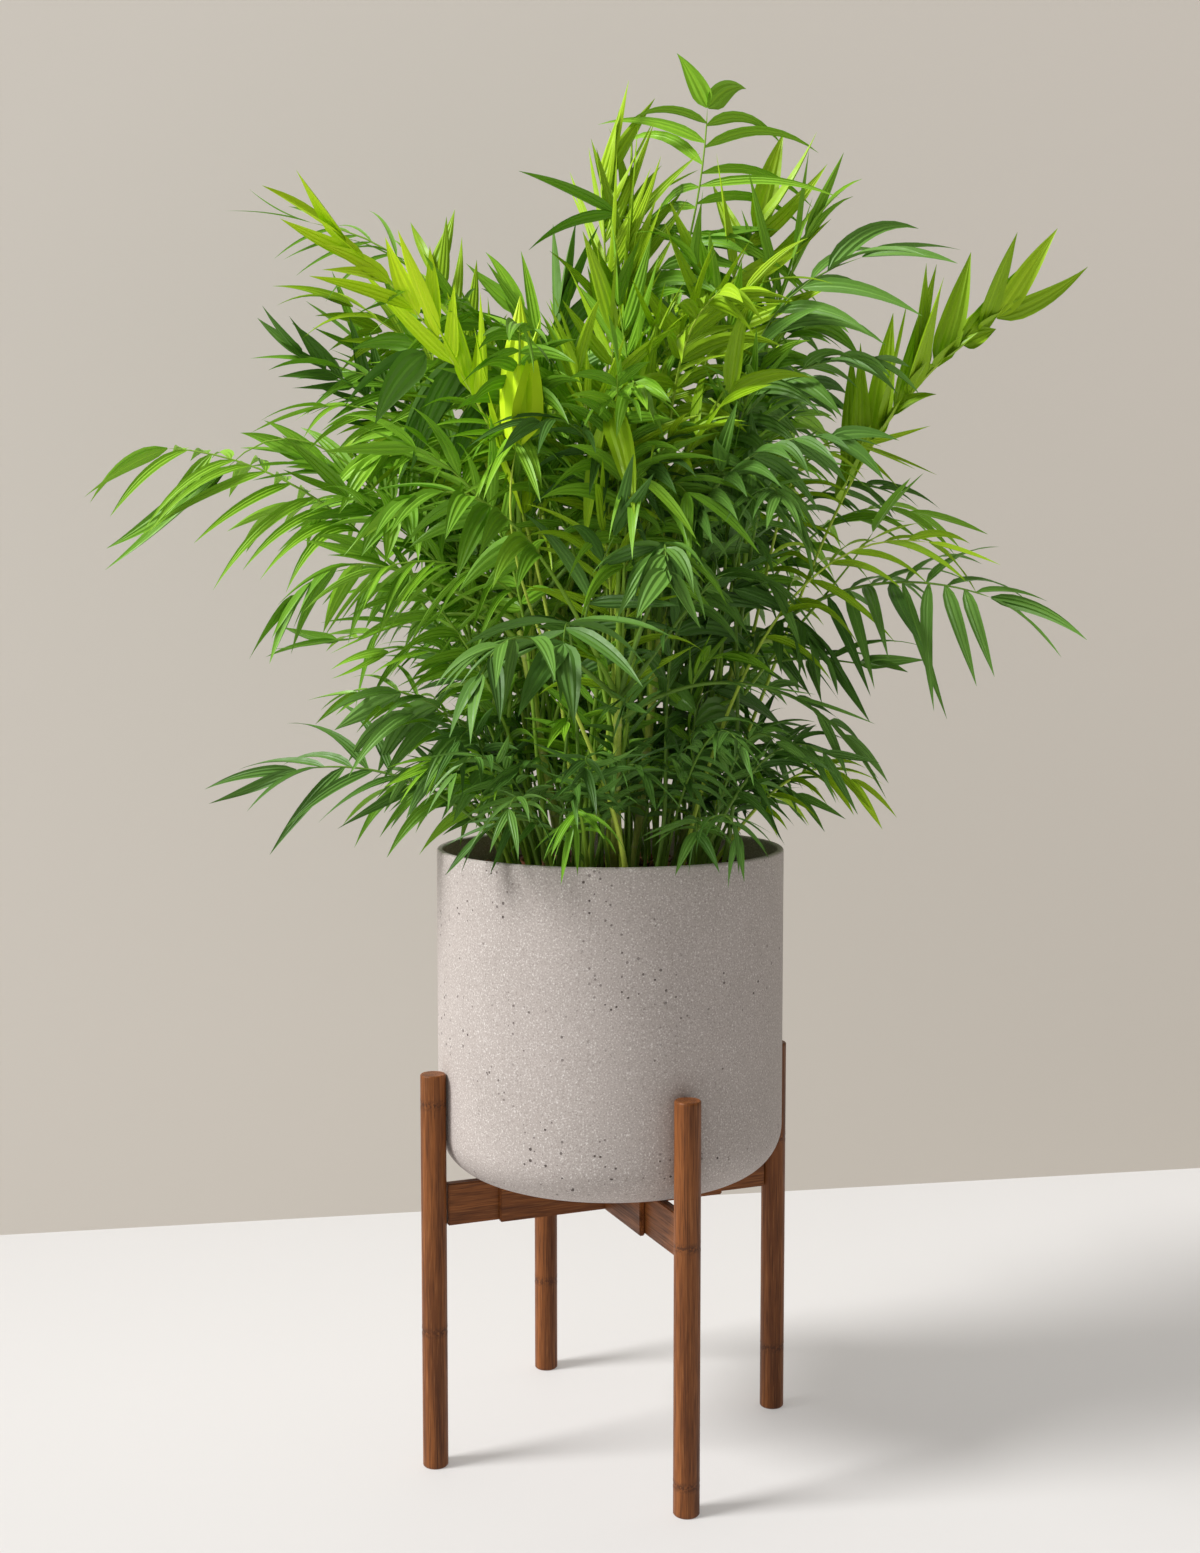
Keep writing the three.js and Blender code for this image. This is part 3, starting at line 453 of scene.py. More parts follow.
# Linear base colours. A leaf tone has several shades, and a pair goes from dark to light.
STONE_CLOUDS = ((0.43, 0.385, 0.36), (0.48, 0.43, 0.405))
STONE_GRAINS = ((0.24, 0.205, 0.185), (0.80, 0.77, 0.74))
STONE_PIT_SHADE = (0.11, 0.09, 0.08)
BAMBOO_BANDS = ((0.120, 0.037, 0.010), (0.29, 0.097, 0.024))
BAMBOO_STREAKS = ((0.060, 0.020, 0.007), (0.40, 0.165, 0.052))
BAMBOO_RING = (0.075, 0.026, 0.010)
MOULD_CLODS = ((0.012, 0.006, 0.004), (0.06, 0.028, 0.016))
BARKS = {"red": (0.33, 0.112, 0.052), "dark": (0.09, 0.038, 0.022), "tan": (0.38, 0.19, 0.10)}
BARK_SHARES = (0.45, 0.4, 0.15)
CANE_STREAKS = ((0.36, 0.50, 0.05), (0.56, 0.68, 0.10))
CANE_RING = (0.50, 0.52, 0.20)
CANE_DARK = (0.10, 0.13, 0.03)
TONES = {
    "deep": ((0.073, 0.180, 0.027), (0.098, 0.230, 0.034), (0.128, 0.284, 0.041),
             (0.166, 0.352, 0.051)),
    "mid": ((0.160, 0.368, 0.020), (0.203, 0.434, 0.023), (0.251, 0.507, 0.027),
            (0.310, 0.587, 0.031)),
    "light": ((0.268, 0.465, 0.011), (0.318, 0.530, 0.013), (0.375, 0.600, 0.015),
              (0.440, 0.672, 0.018)),
    # The fresh tone is the yellow-green of new leaves, painted brighter still for light shining
    # through them: painted light
    "fresh": ((0.560, 0.810, 0.016), (0.612, 0.858, 0.018), (0.668, 0.900, 0.021),
              (0.735, 0.940, 0.025)),
}
RIB_TONES = {
    "deep": (0.16, 0.30, 0.04),
    "mid": (0.25, 0.44, 0.04),
    "light": (0.48, 0.66, 0.07),
    # fresh ribs share their leaves' painted light
    "fresh": (0.62, 0.78, 0.10),
}
LEAF_GLOSS = 0.22
LEAF_ROUGHNESS = (0.36, 0.54)


def lerp(a, b, share):
    return a + (b - a) * share


def unit(vectors):
    return vectors / np.linalg.norm(vectors, axis=-1, keepdims=True)


def level(vector):
    return unit(np.array([vector[0], vector[1], 0.0]))


def bearing_vector(degrees):
    return np.array([math.cos(math.radians(degrees)), math.sin(math.radians(degrees)), 0.0])


def slope_vector(bearing, degrees):
    """A direction at a slope, in degrees above the level, towards a level bearing."""
    return bearing * math.cos(math.radians(degrees)) + UP * math.sin(math.radians(degrees))


def turned(bearing, degrees):
    """A level bearing turned about the vertical."""
    a = math.radians(degrees)
    x, y = bearing[0], bearing[1]
    return np.array([x * math.cos(a) - y * math.sin(a), x * math.sin(a) + y * math.cos(a), 0.0])


def seeded(seed):
    """The source's run of numbers, from 0 up to 1."""
    word = 0xFFFFFFFF
    state = seed

    def draw():
        nonlocal state
        state = (state + 0x6D2B79F5) & word
        t = state
        t = ((t ^ (t >> 15)) * (t | 1)) & word
        t ^= (t + (((t ^ (t >> 7)) * (t | 61)) & word)) & word
        return ((t ^ (t >> 14)) & word) / 4294967296

    return draw


# Meshes


def grid_quads(rows, columns, closed=False):
    """Quads over a grid of points, row by row. A closed grid joins its last column to its first."""
    row = np.arange(rows - 1)[:, None] * columns
    first = np.arange(columns if closed else columns - 1)[None, :]
    second = (first + 1) % columns
    corners = [row + first, row + second, row + columns + second, row + columns + first]
    return np.stack(corners, axis=-1).reshape(-1, 4)


class Sheaf:
    """Many small parts, gathered into one mesh of quads."""

    def __init__(self):
        self.points = []
        self.quads = []
        self.count = 0

    def add(self, points, quads):
        """Adds one grid of points, or many grids that share the same quads."""
        points = points.reshape(-1, points.shape[-3] * points.shape[-2], 3)
        starts = self.count + np.arange(len(points))[:, None, None] * points.shape[1]
        self.quads.append((quads[None] + starts).reshape(-1, 4))
        self.points.append(points.reshape(-1, 3))
        self.count += points.shape[0] * points.shape[1]

    def piece(self, name, material, slot, nodes=()):
        placed(name, np.concatenate(self.points), np.concatenate(self.quads), material,
               nodes)


def placed(name, points, quads, material, nodes=()):
    """One piece of the object, from points in millimetres and quads."""
    mesh = bpy.data.meshes.new(name)
    mesh.vertices.add(len(points))
    mesh.vertices.foreach_set("co", (points * MM + AXIS).astype(np.float32).ravel())
    mesh.loops.add(quads.size)
    mesh.loops.foreach_set("vertex_index", quads.astype(np.int32).ravel())
    mesh.polygons.add(len(quads))
    mesh.polygons.foreach_set("loop_start", np.arange(0, quads.size, 4, dtype=np.int32))
    mesh.update(calc_edges=True)
    mesh.shade_smooth()
    dressed(bpy.data.objects.new(name, mesh), material, nodes)


def dressed(obj, material, nodes=()):
    """Links a new piece, gives it its material and seats it on the plant's one body."""
    bpy.context.scene.collection.objects.link(obj)
    obj.data.materials.clear()
    obj.data.materials.append(material)
    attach(obj, "root")
    if nodes:
        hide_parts(*nodes)


def ring_grid(centres, radii, sides):
    """Level rings of points round a row of centres."""
    turn = np.linspace(0, 2 * math.pi, sides, endpoint=False)
    ring = np.stack([np.cos(turn), np.sin(turn), np.zeros(sides)], axis=-1)
    return centres[:, None, :] + ring[None] * radii[:, None, None]


def tube(name, centres, radii, sides, material, nodes):
    """A closed body of level rings round a row of centres."""
    points = ring_grid(centres, radii, sides).reshape(-1, 3)
    placed(name, points, grid_quads(len(radii), sides, True), material, nodes)


# Materials


class Shader:
    """A material's node tree, with short calls for the nodes used here."""

    def __init__(self, name, roughness):
        self.material = bpy.data.materials.new(name)
        self.material.use_nodes = True
        self.tree = self.material.node_tree
        self.surface = self.tree.nodes["Principled BSDF"]
        self.set("Roughness", roughness)
        self.place = self.node("ShaderNodeTexCoord").outputs["Object"]

    def give(self, socket, value):
        """Gives an input a number, a colour or another node's output."""
        if isinstance(value, tuple):
            socket.default_value = (*value, 1)
        elif isinstance(value, (int, float)):
            socket.default_value = value
        else:
            self.tree.links.new(value, socket)

    def set(self, name, value):
        """Sets one input of the surface."""
        self.give(self.surface.inputs[name], value)

    def node(self, kind, inputs=(), **settings):
        """A new node. Its inputs come in pairs of a name, or a number in their row, and a value."""
        made = self.tree.nodes.new(kind)
        for key, value in settings.items():
            setattr(made, key, value)
        for key, value in inputs:
            self.give(made.inputs[key], value)
        return made

    def stretched(self, scale, turn=0.0):
        """The place, turned back about the vertical and then scaled along each axis."""
        mapping = self.node("ShaderNodeMapping", [("Vector", self.place)], vector_type="TEXTURE")
        mapping.inputs["Rotation"].default_value = (0, 0, turn)
        mapping.inputs["Scale"].default_value = tuple(1 / s for s in scale)
        return mapping.outputs["Vector"]

    def along(self, axis):
        """The place along one axis, in metres."""
        return self.node("ShaderNodeSeparateXYZ", [("Vector", self.place)]).outputs[axis]

    def noise(self, scale, detail=3.0, rough=0.55, vector=None):
        inputs = [("Scale", scale), ("Detail", detail), ("Roughness", rough),
                  ("Vector", vector or self.place)]
        return self.node("ShaderNodeTexNoise", inputs).outputs["Fac"]

    def ramp(self, value, low, high, colours):
        """One colour up to a low value, another from a high one, and a blend between."""
        made = self.node("ShaderNodeValToRGB", [("Fac", value)])
        for element, at, colour in zip(made.color_ramp.elements, (low, high), colours):
            element.position = at
            element.color = (*colour, 1)
        return made.outputs["Color"]

    def window(self, value, low, high, out_low=0.0, out_high=1.0):
        """A value between low and high turned to one between two others."""
        inputs = [("Value", value), ("From Min", low), ("From Max", high), ("To Min", out_low),
                  ("To Max", out_high)]
        return self.node("ShaderNodeMapRange", inputs).outputs["Result"]

    def maths(self, operation, first, second):
        made = self.node("ShaderNodeMath", enumerate((first, second)), operation=operation)
        return made.outputs["Value"]

    def mixed(self, share, first, second):
        made = self.node("ShaderNodeMix", data_type="RGBA")
        sockets = (socket for socket in made.inputs if socket.enabled)
        for socket, value in zip(sockets, (share, first, second)):
            self.give(socket, value)
        return next(socket for socket in made.outputs if socket.enabled)

    def bump(self, height, distance, strength=1.0):
        inputs = [("Height", height), ("Distance", distance), ("Strength", strength)]
        self.set("Normal", self.node("ShaderNodeBump", inputs).outputs["Normal"])

    def height(self, foot):
        """The height above a level that is given in millimetres, in metres."""
        return self.maths("ADD", self.along("Z"), -foot * MM)

    def rings(self, height, pitch, *window):
        """A value that changes near each node of a stem, at a pitch in millimetres."""
        return self.window(self.maths("PINGPONG", height, pitch * MM / 2), *window)


def concrete():
    """Warm grey cast stone: fine light and dark grain, and small pits in loose clusters, each with
    painted shade in it.
    """
    shader = Shader("concrete", 0.85)
    cloud = shader.noise(9, 2)
    base = shader.ramp(cloud, 0.3, 0.7, STONE_CLOUDS)
    grain = shader.noise(720, 2, 0.7)
    dark = shader.window(grain, 0.32, 0.44, 0.6, 0.0)
    light = shader.window(grain, 0.56, 0.68, 0.0, 0.8)
    base = shader.mixed(dark, base, STONE_GRAINS[0])
    base = shader.mixed(light, base, STONE_GRAINS[1])
    cells = shader.node("ShaderNodeTexVoronoi", [("Vector", shader.place), ("Scale", 230)])
    lone = shader.node("ShaderNodeSeparateColor", [("Color", cells.outputs["Color"])])
    patches = shader.window(shader.noise(15, 2), 0.44, 0.58)
    chosen = shader.window(lone.outputs["Red"], 0.70, 0.74)
    size = shader.maths("MULTIPLY", lone.outputs["Green"], 0.24)
    near = shader.maths("SUBTRACT", shader.maths("ADD", size, 0.09), cells.outputs["Distance"])
    pit = shader.window(near, 0.0, 0.05)
    pit = shader.maths("MULTIPLY", pit, shader.maths("MULTIPLY", chosen, patches))
    # Painted shade: each pit is darkened where shade would fall in its hollow
    shader.set("Base Color", shader.mixed(pit, base, STONE_PIT_SHADE))
    depth = shader.maths("SUBTRACT", shader.maths("MULTIPLY", grain, 0.35), pit)
    shader.bump(depth, 0.0011, 0.8)
    return shader.material


def bamboo(name, turn, along, first_node=None):
    """Warm brown bamboo: grain along one axis, and on a leg darker rings at its nodes."""
    shader = Shader(name, 0.5)
    fine = tuple(30 if axis == along else 900 for axis in range(3))
    broad = tuple(5 if axis == along else 120 for axis in range(3))
    streak = shader.noise(1, 3, 0.6, shader.stretched(fine, turn))
    band = shader.noise(1, 2, 0.5, shader.stretched(broad, turn))
    base = shader.ramp(band, 0.3, 0.7, BAMBOO_BANDS)
    dark = shader.window(streak, 0.34, 0.50, 0.7, 0.0)
    light = shader.window(streak, 0.55, 0.72, 0.0, 0.5)
    base = shader.mixed(dark, base, BAMBOO_STREAKS[0])
    base = shader.mixed(light, base, BAMBOO_STREAKS[1])
    if first_node is not None:
        ring = shader.rings(shader.height(first_node), LEG_NODE_PITCH, 0.001, 0.0055, 0.9, 0.0)
        specks = shader.window(shader.noise(420, 2), 0.42, 0.56)
        base = shader.mixed(shader.maths("MULTIPLY", ring, specks), base, BAMBOO_RING)
    shader.set("Base Color", base)
    shader.set("Specular IOR Level", 0.22)
    shader.set("Roughness", shader.window(streak, 0.3, 0.7, 0.5, 0.34))
    shader.bump(streak, 0.0004, 0.5)
    return shader.material


def mould():
    """Damp potting mix under the chips."""
    shader = Shader("mould", 0.95)
    clods = shader.noise(160, 5, 0.7)
    shader.set("Base Color", shader.ramp(clods, 0.35, 0.7, MOULD_CLODS))
    shader.bump(clods, 0.004)
    return shader.material


def bark(name, colour):
    shader = Shader(name, 0.85)
    shader.set("Base Color", colour)
    return shader.material


def cane_skin():
    """Yellow-green cane: pale at each node, dark at the soil, with fine streaks."""
    shader = Shader("cane_skin", 0.42)
    streak = shader.noise(1, 3, 0.6, shader.stretched((700, 700, 40)))
    base = shader.ramp(streak, 0.3, 0.7, CANE_STREAKS)
    height = shader.height(ROOT_Z)
    ring = shader.rings(height, CANE_NODE_PITCH, 0.0, 0.0016, 0.85, 0.0)
    shade = shader.window(height, 0.0, CANE_SHADE_HEIGHT * MM, CANE_SHADE, 0.0)
    pale = shader.mixed(ring, base, CANE_RING)
    shader.set("Base Color", shader.mixed(shade, pale, CANE_DARK))
    shader.bump(streak, 0.0003, 0.4)
    return shader.material


def leaf_skin(name, colour):
    """A leaf tone: one plain colour, with the uneven soft gloss of a leaf."""
    shader = Shader(name, LEAF_ROUGHNESS[0])
    shader.set("Base Color", colour)
    shader.set("Specular IOR Level", LEAF_GLOSS)
    shader.set("Roughness", shader.window(shader.noise(70, 2), 0.35, 0.65, *LEAF_ROUGHNESS))
    shader.bump(shader.noise(160, 2), 0.0004, 0.6)
    return shader.material


# Pot and soil


def foot_arc(radius, foot, corner):
    """The round corner between a level floor and an upright wall, from the floor."""
    turns = np.radians(np.linspace(0, 90, CORNER_STEPS + 1))
    return [(radius - corner + corner * math.sin(a), foot + corner - corner * math.cos(a))
            for a in turns]


def lip(inside):
    """The rim, rounded at its outer edge and at its inner one."""
    turns = np.radians(np.linspace(0, 90, RIM_STEPS + 1))
    low = RIM_Z - RIM_ROUND
    outer = POT_RADIUS - RIM_ROUND
    inner = inside + RIM_ROUND
    return [*((outer + RIM_ROUND * math.cos(a), low + RIM_ROUND * math.sin(a)) for a in turns),
            *((inner - RIM_ROUND * math.sin(a), low + RIM_ROUND * math.cos(a)) for a in turns)]


def build_pot():
    inside = POT_RADIUS - POT_WALL
    floor = POT_FOOT + POT_FLOOR
    profile = np.array([
        (LATHE_END, POT_FOOT),
        *foot_arc(POT_RADIUS, POT_FOOT, POT_CORNER),
        *((POT_RADIUS, lerp(POT_FOOT + POT_CORNER, RIM_Z - RIM_ROUND, k / WALL_STEPS))
          for k in range(1, WALL_STEPS)),
        *lip(inside),
        (inside, SOIL_Z),
        *reversed(foot_arc(inside, floor, POT_CORNER - POT_WALL)),
        (LATHE_END, floor)])
    tube("pot_shell", UP * profile[:, 1:], profile[:, 0], POT_SIDES, concrete(), ["pot"])


def lumps(x, y):
    """The height of the soil's lumps and finer ripples at a place."""
    first, second = SOIL_LUMPS
    near, far, fine = SOIL_RIPPLES
    ripples = (np.sin(x / near + y / far), np.cos(y / fine))
    return (np.sin(x / first) * np.cos(y / second)
            + sum(share * ripple for share, ripple in zip(SOIL_RIPPLE_SHARES, ripples)))


def build_soil(random):
    """A lumpy bed of mix with bark chips strewn on it."""
    inside = POT_RADIUS - POT_WALL - SEAT
    foot = POT_FOOT + POT_FLOOR + SEAT
    level_z = SOIL_Z - SOIL_SWELL
    radii = np.linspace(LATHE_END, inside, SOIL_RINGS)
    top = ring_grid(np.tile(UP * level_z, (SOIL_RINGS, 1)), radii, POT_SIDES)
    fade = (1 - (radii / inside) ** SOIL_EDGE)[:, None]
    top[..., 2] += SOIL_SWELL / 2 * lumps(top[..., 0], top[..., 1]) * fade
    side = np.array([
        *((inside, lerp(level_z, foot + POT_CORNER, k / SOIL_SIDE_STEPS))
          for k in range(1, SOIL_SIDE_STEPS + 1)),
        *reversed(foot_arc(inside, foot, POT_CORNER - POT_WALL)),
        (LATHE_END, foot)])
    body = np.concatenate([top, ring_grid(UP * side[:, 1:], side[:, 0], POT_SIDES)])[::-1]
    placed("soil_bed", body.reshape(-1, 3), grid_quads(len(body), POT_SIDES, True), mould(),
           ["soil"])
    for (tone, colour), share in zip(BARKS.items(), BARK_SHARES):
        sheaf = chips(round(CHIP_COUNT * share), random)
        sheaf.piece(f"bark_{tone}", bark(f"bark_{tone}", colour), "soil")


def chips(count, random):
    """Flat, rough-cut chips that lie at all angles on the soil."""
    corners = np.array([[x, y, z] for z in (-1, 1) for y in (-1, 1) for x in (-1, 1)]) / 2
    corners = corners + random.uniform(-CHIP_ROUGH, CHIP_ROUGH, (count, 8, 3))
    length = random.uniform(*CHIP_LENGTH, count)
    size = np.stack([length, length * random.uniform(*CHIP_BREADTH, count),
                     length * random.uniform(*CHIP_THICKNESS, count)], axis=-1)
    points = corners * size[:, None, :]
    tilt = random.normal(0, CHIP_TILT, (count, 2))
    spin = random.uniform(0, 2 * math.pi, count)
    points[..., 2] += points[..., 0] * tilt[:, :1] + points[..., 1] * tilt[:, 1:]
    x = points[..., 0] * np.cos(spin)[:, None] - points[..., 1] * np.sin(spin)[:, None]
    y = points[..., 0] * np.sin(spin)[:, None] + points[..., 1] * np.cos(spin)[:, None]
    radius = CHIP_REACH * np.sqrt(random.uniform(0, 1, count))
    bearing = random.uniform(0, 2 * math.pi, count)
    points[..., 0] = x + (radius * np.cos(bearing))[:, None]
    points[..., 1] = y + (radius * np.sin(bearing))[:, None]
    lift = random.uniform(-CHIP_LIFT, CHIP_LIFT, count)
    points[..., 2] += SOIL_Z - SOIL_SWELL / 2 + lift[:, None]
    cube = np.array([[0, 2, 3, 1], [4, 5, 7, 6], [0, 1, 5, 4], [2, 6, 7, 3], [0, 4, 6, 2],
                     [1, 3, 7, 5]])
    sheaf = Sheaf()
    sheaf.add(points[:, None], cube)
    return sheaf


# Stand


def from_node(heights, pitch):
    """How far each height lies from the nearest node of a stem."""
    return np.abs((heights + pitch / 2) % pitch - pitch / 2)


def build_leg(corner, k):
    """A turned bamboo leg with eased ends and a low ridge at each node."""
    low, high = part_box(f"leg_{corner}")
    centre = (np.array(low + high) / 2 - AXIS) / MM
    radius = (high.x - low.x) / 2 / MM
    height = (high.z - low.z) / MM
    foot = low.z / MM
    first_node = foot + LEG_NODE_FIRST + LEG_NODE_STEP * k
    heights = np.linspace(foot + LEG_CHAMFER, foot + height - LEG_CHAMFER, LEG_RINGS)
    off = from_node(heights - first_node, LEG_NODE_PITCH)
    ridge = (np.exp(-((off - LEG_RIDGE_OFFSET) / LEG_RIDGE_WIDTH) ** 2)
             - np.exp(-(off / LEG_GROOVE_WIDTH) ** 2))
    radii = radius + LEG_NODE_HEIGHT * (ridge - 1)
    flat = radius - LEG_CHAMFER
    profile = np.array([
        (LATHE_END, foot), (flat - LEG_EDGE, foot), (flat, foot),
        *zip(radii, heights),
        *((width, foot + height) for width in (flat, flat - LEG_EDGE, LATHE_END))])
    centres = np.array([*centre[:2], 0.0]) + UP * profile[:, 1:]
    tube(f"leg_{corner}_turned", centres, profile[:, 0], LEG_SIDES,
         bamboo(f"bamboo_leg_{k + 1}", 0, 2, first_node), [f"leg_{corner}"])


def eased_copy(node, material):
    """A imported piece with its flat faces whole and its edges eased."""
    mesh = bpy.data.meshes.new(f"{node}_eased")
    shape = bmesh.new()
    shape.from_mesh(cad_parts[node].data)
    bmesh.ops.remove_doubles(shape, verts=shape.verts, dist=BAR_WELD * MM)
    bmesh.ops.dissolve_limit(shape, angle_limit=BAR_FLAT, verts=shape.verts, edges=shape.edges)
    bmesh.ops.bevel(shape, geom=shape.edges, offset=BAR_BEVEL * MM, segments=BAR_BEVEL_STEPS,
                    affect="EDGES", clamp_overlap=True)
    shape.to_mesh(mesh)
    shape.free()
    dressed(bpy.data.objects.new(f"{node}_eased", mesh), material, [node])


def build_stand():
    turn = math.radians(STAND_BEARING)
    along_front = bamboo("bamboo_front_back", turn, 0)
    along_side = bamboo("bamboo_left_right", turn, 1)
    for bar, skin in zip(BARS, (along_front, along_side)):
        eased_copy(bar, skin)
    for k, corner in enumerate(CORNERS):
        build_leg(corner, k)
        eased_copy(f"tongue_{corner}", along_side if k % 2 else along_front)


# Canes


@dataclass
class Cane:
    """A cane by its number, with how many fronds it bears so far."""

    k: int
    foot: np.ndarray
    top: np.ndarray
    height: float
    bearing: np.ndarray
    load: int = 0

    @property
    def lean(self):
        return unit(self.top - self.foot)

    def centre(self, height):
        return lerp(self.foot, self.top, height / self.height)

    def radius(self, height):
        flare = 1 + (CANE_FLARE - 1) * np.maximum(0, 1 - height / CANE_FLARE_HEIGHT)
        return flare * lerp(CANE_FOOT_RADIUS, CANE_TIP_RADIUS, height / self.height)


def cane(k):
    """One of a spiral of canes, from a tall one in the middle to short ones that lean outwards."""
    rank = k / (CANE_COUNT - 1)
    bearing = bearing_vector(GOLDEN_ANGLE * k + CANE_FIRST_BEARING)
    foot_radius = CANE_SPACING * math.sqrt(k)
    height = lerp(CANE_TALL, CANE_SHORT, rank) + CANE_UNEVEN * math.sin(CANE_UNEVEN_TURN * k)
    foot = UP * ROOT_Z + bearing * foot_radius
    top = foot + UP * height + bearing * (foot_radius * (CANE_SPLAY - 1) + CANE_TILT)
    return Cane(k, foot, top, height, bearing)


def build_cane(stem, skin):
    """A ringed cane: a low ridge at each node, on the source's taper and flare."""
    heights = np.append(np.arange(0, stem.height, CANE_RING_PITCH), stem.height)
    off = from_node(heights, CANE_NODE_PITCH)
    radii = stem.radius(heights) + CANE_NODE_HEIGHT * np.exp(-(off / CANE_NODE_WIDTH) ** 2)
    centres = stem.centre(heights[:, None])
    centres = np.concatenate([centres[:1], centres, centres[-1:] + UP * CANE_CAP])
    radii = np.concatenate([[TUBE_END], radii, [TUBE_END]])
    tube(f"cane_{stem.k + 1}_ringed", centres, radii, CANE_SIDES, skin,
         [f"cane_{stem.k + 1}"])


# Fronds


def rib_line(frond):
    """Evenly spaced points along a frond's rib, with its tangent, upper side and right side."""
    tip = np.array(frond.tip, float)
    start = np.array(frond.start, float)
    bearing = level(tip - start)
    end_way = slope_vector(bearing, frond.rise)
    end = tip - frond.end * frond.leaf * end_way
    reach = np.linalg.norm(end - start)
    first = start + LEAD_ARM * reach * slope_vector(bearing, frond.lead)
    second = end - TIP_ARM * reach * end_way
    t = np.linspace(0, 1, RIB_SAMPLES)[:, None]
    curve = (start * (1 - t) ** 3 + 3 * first * t * (1 - t) ** 2 + 3 * second * t ** 2 * (1 - t)
             + end * t ** 3)
    run = np.append(0, np.cumsum(np.linalg.norm(np.diff(curve, axis=0), axis=1)))
    even = np.linspace(0, run[-1], RIB_STATIONS)
    points = read_between(curve, run, even)
    tangents = unit(np.gradient(points, axis=0))
    aside = np.cross(bearing, UP)
    uppers = unit(np.cross(aside, tangents))
    share = np.linspace(0, 1, RIB_STATIONS)
    blade = np.clip((share - 1 + frond.blade) / frond.blade, 0, 1)
    roll = np.radians(frond.turn) * lerp(ROLL_START, 1, blade) * (share >= 1 - frond.blade)
    roll = roll[:, None]
    rights = np.cross(tangents, uppers)
    uppers = uppers * np.cos(roll) + rights * np.sin(roll)
    return points, tangents, uppers, np.cross(tangents, uppers)


def rib_tube(frond, line):
    """The rib as a slim tube with a wider sheath at its foot."""
    points, _, uppers, rights = line
    share = np.linspace(0, 1, len(points))
    swell = 1 + SHEATH_SWELL * np.maximum(0, 1 - share / SHEATH_SHARE) ** 2
    radii = lerp(RIB_FOOT, RIB_TIP, share) * frond.stout * swell
    radii[0] = radii[-1] = TUBE_END
    turn = np.linspace(0, 2 * math.pi, RIB_SIDES, endpoint=False)[None, :, None]
    ring = rights[:, None] * np.cos(turn) + uppers[:, None] * np.sin(turn)
    return points[:, None] + ring * radii[:, None, None]


def read_between(rows, known, wanted):
    """Rows of vectors along a line, read between the places where they are known."""
    return np.stack([np.interp(wanted, known, rows[:, axis]) for axis in range(3)], axis=-1)


def at_share(rows, share):
    """Rows of vectors along a rib, read at other shares of its length."""
    return read_between(rows, np.linspace(0, 1, len(rows)), share)


def leaf_seats(frond, points, random):
    """Each leaflet's side, and its place along the blade and along the whole rib, as shares."""
    reach = np.sum(np.linalg.norm(np.diff(points, axis=0), axis=1)) * frond.blade
    pairs = max(2, round(reach / (frond.pitch * frond.leaf))) if frond.pitch else 1
    pair = np.tile(np.arange(pairs), 2)
    side = np.repeat([-1.0, 1.0], pairs)
    share = pair / (pairs - 1) if pairs > 1 else np.ones(2)
    step = frond.blade / pairs
    stagger = random.uniform(-LEAF_STAGGER, LEAF_STAGGER, len(pair)) * step * (share < 1)
    return side, share, 1 - frond.blade + step * (pair + 1) + stagger


def leaf_sizes(frond, side, share, random):
    """Each leaflet's length and breadth: longest past the middle, with a pair of its own last."""
    last = share == 1
    least, start, over = LEAF_SWELL
    swell = lerp(least, 1, np.sin(math.pi * (start + over * share)))
    swell = np.where(last, frond.end, swell * np.where(side > 0, frond.right, frond.left))
    length = frond.leaf * swell * random.uniform(*LEAF_LENGTHS, len(share))
    width = frond.leaf * LEAF_SLENDER * frond.broad * np.where(last, frond.fan, 1.0)
    return length, width * random.uniform(*LEAF_WIDTHS, len(share))


def leaf_ways(frond, share, tangent, upper, out, random):
    """The way that each leaflet sets out, the line across it, and its angle with the rib."""
    opening = np.where(share == 1, frond.gape, lerp(OPEN_ANGLE, frond.closed, share))
    opening = np.radians(opening * frond.spread + random.normal(0, OPEN_SCATTER, len(share)))
    droop = LEAF_DROOP * frond.hang * (1 - LEAF_DROOP_EASE * share)
    lift = np.radians(LEAF_LIFT - droop + random.normal(0, LIFT_SCATTER, len(share)))
    way = tangent * np.cos(opening)[:, None] + out * np.sin(opening)[:, None]
    way = unit(way * np.cos(lift)[:, None] + upper * np.sin(lift)[:, None])
    across = unit(tangent - way * np.sum(tangent * way, axis=1, keepdims=True))
    face = np.cross(way, across)
    face *= np.sign(np.sum(face * upper, axis=1, keepdims=True))
    return way, np.cross(face, way), opening


def leaflets(frond, line, random):
    """The points of all the leaflets of a frond, as an array of grids."""
    points, tangents, uppers, _ = line
    side, share, at = leaf_seats(frond, points, random)
    length, width = leaf_sizes(frond, side, share, random)
    tangent = unit(at_share(tangents, at))
    upper = unit(at_share(uppers, at))
    out = np.cross(tangent, upper) * side[:, None]
    way, across, opening = leaf_ways(frond, share, tangent, upper, out, random)
    fall = LEAF_FALL * frond.hang * (1 - LEAF_FALL_EASE * share)
    fall = fall + random.normal(0, FALL_SCATTER, len(share))
    twist = random.normal(0, TWIST_SCATTER, len(share))
    sweep = tangent * (LEAF_SWEEP * np.sin(opening))[:, None]
    return blade_grid(at_share(points, at), way, across, length, width, fall, twist, sweep)


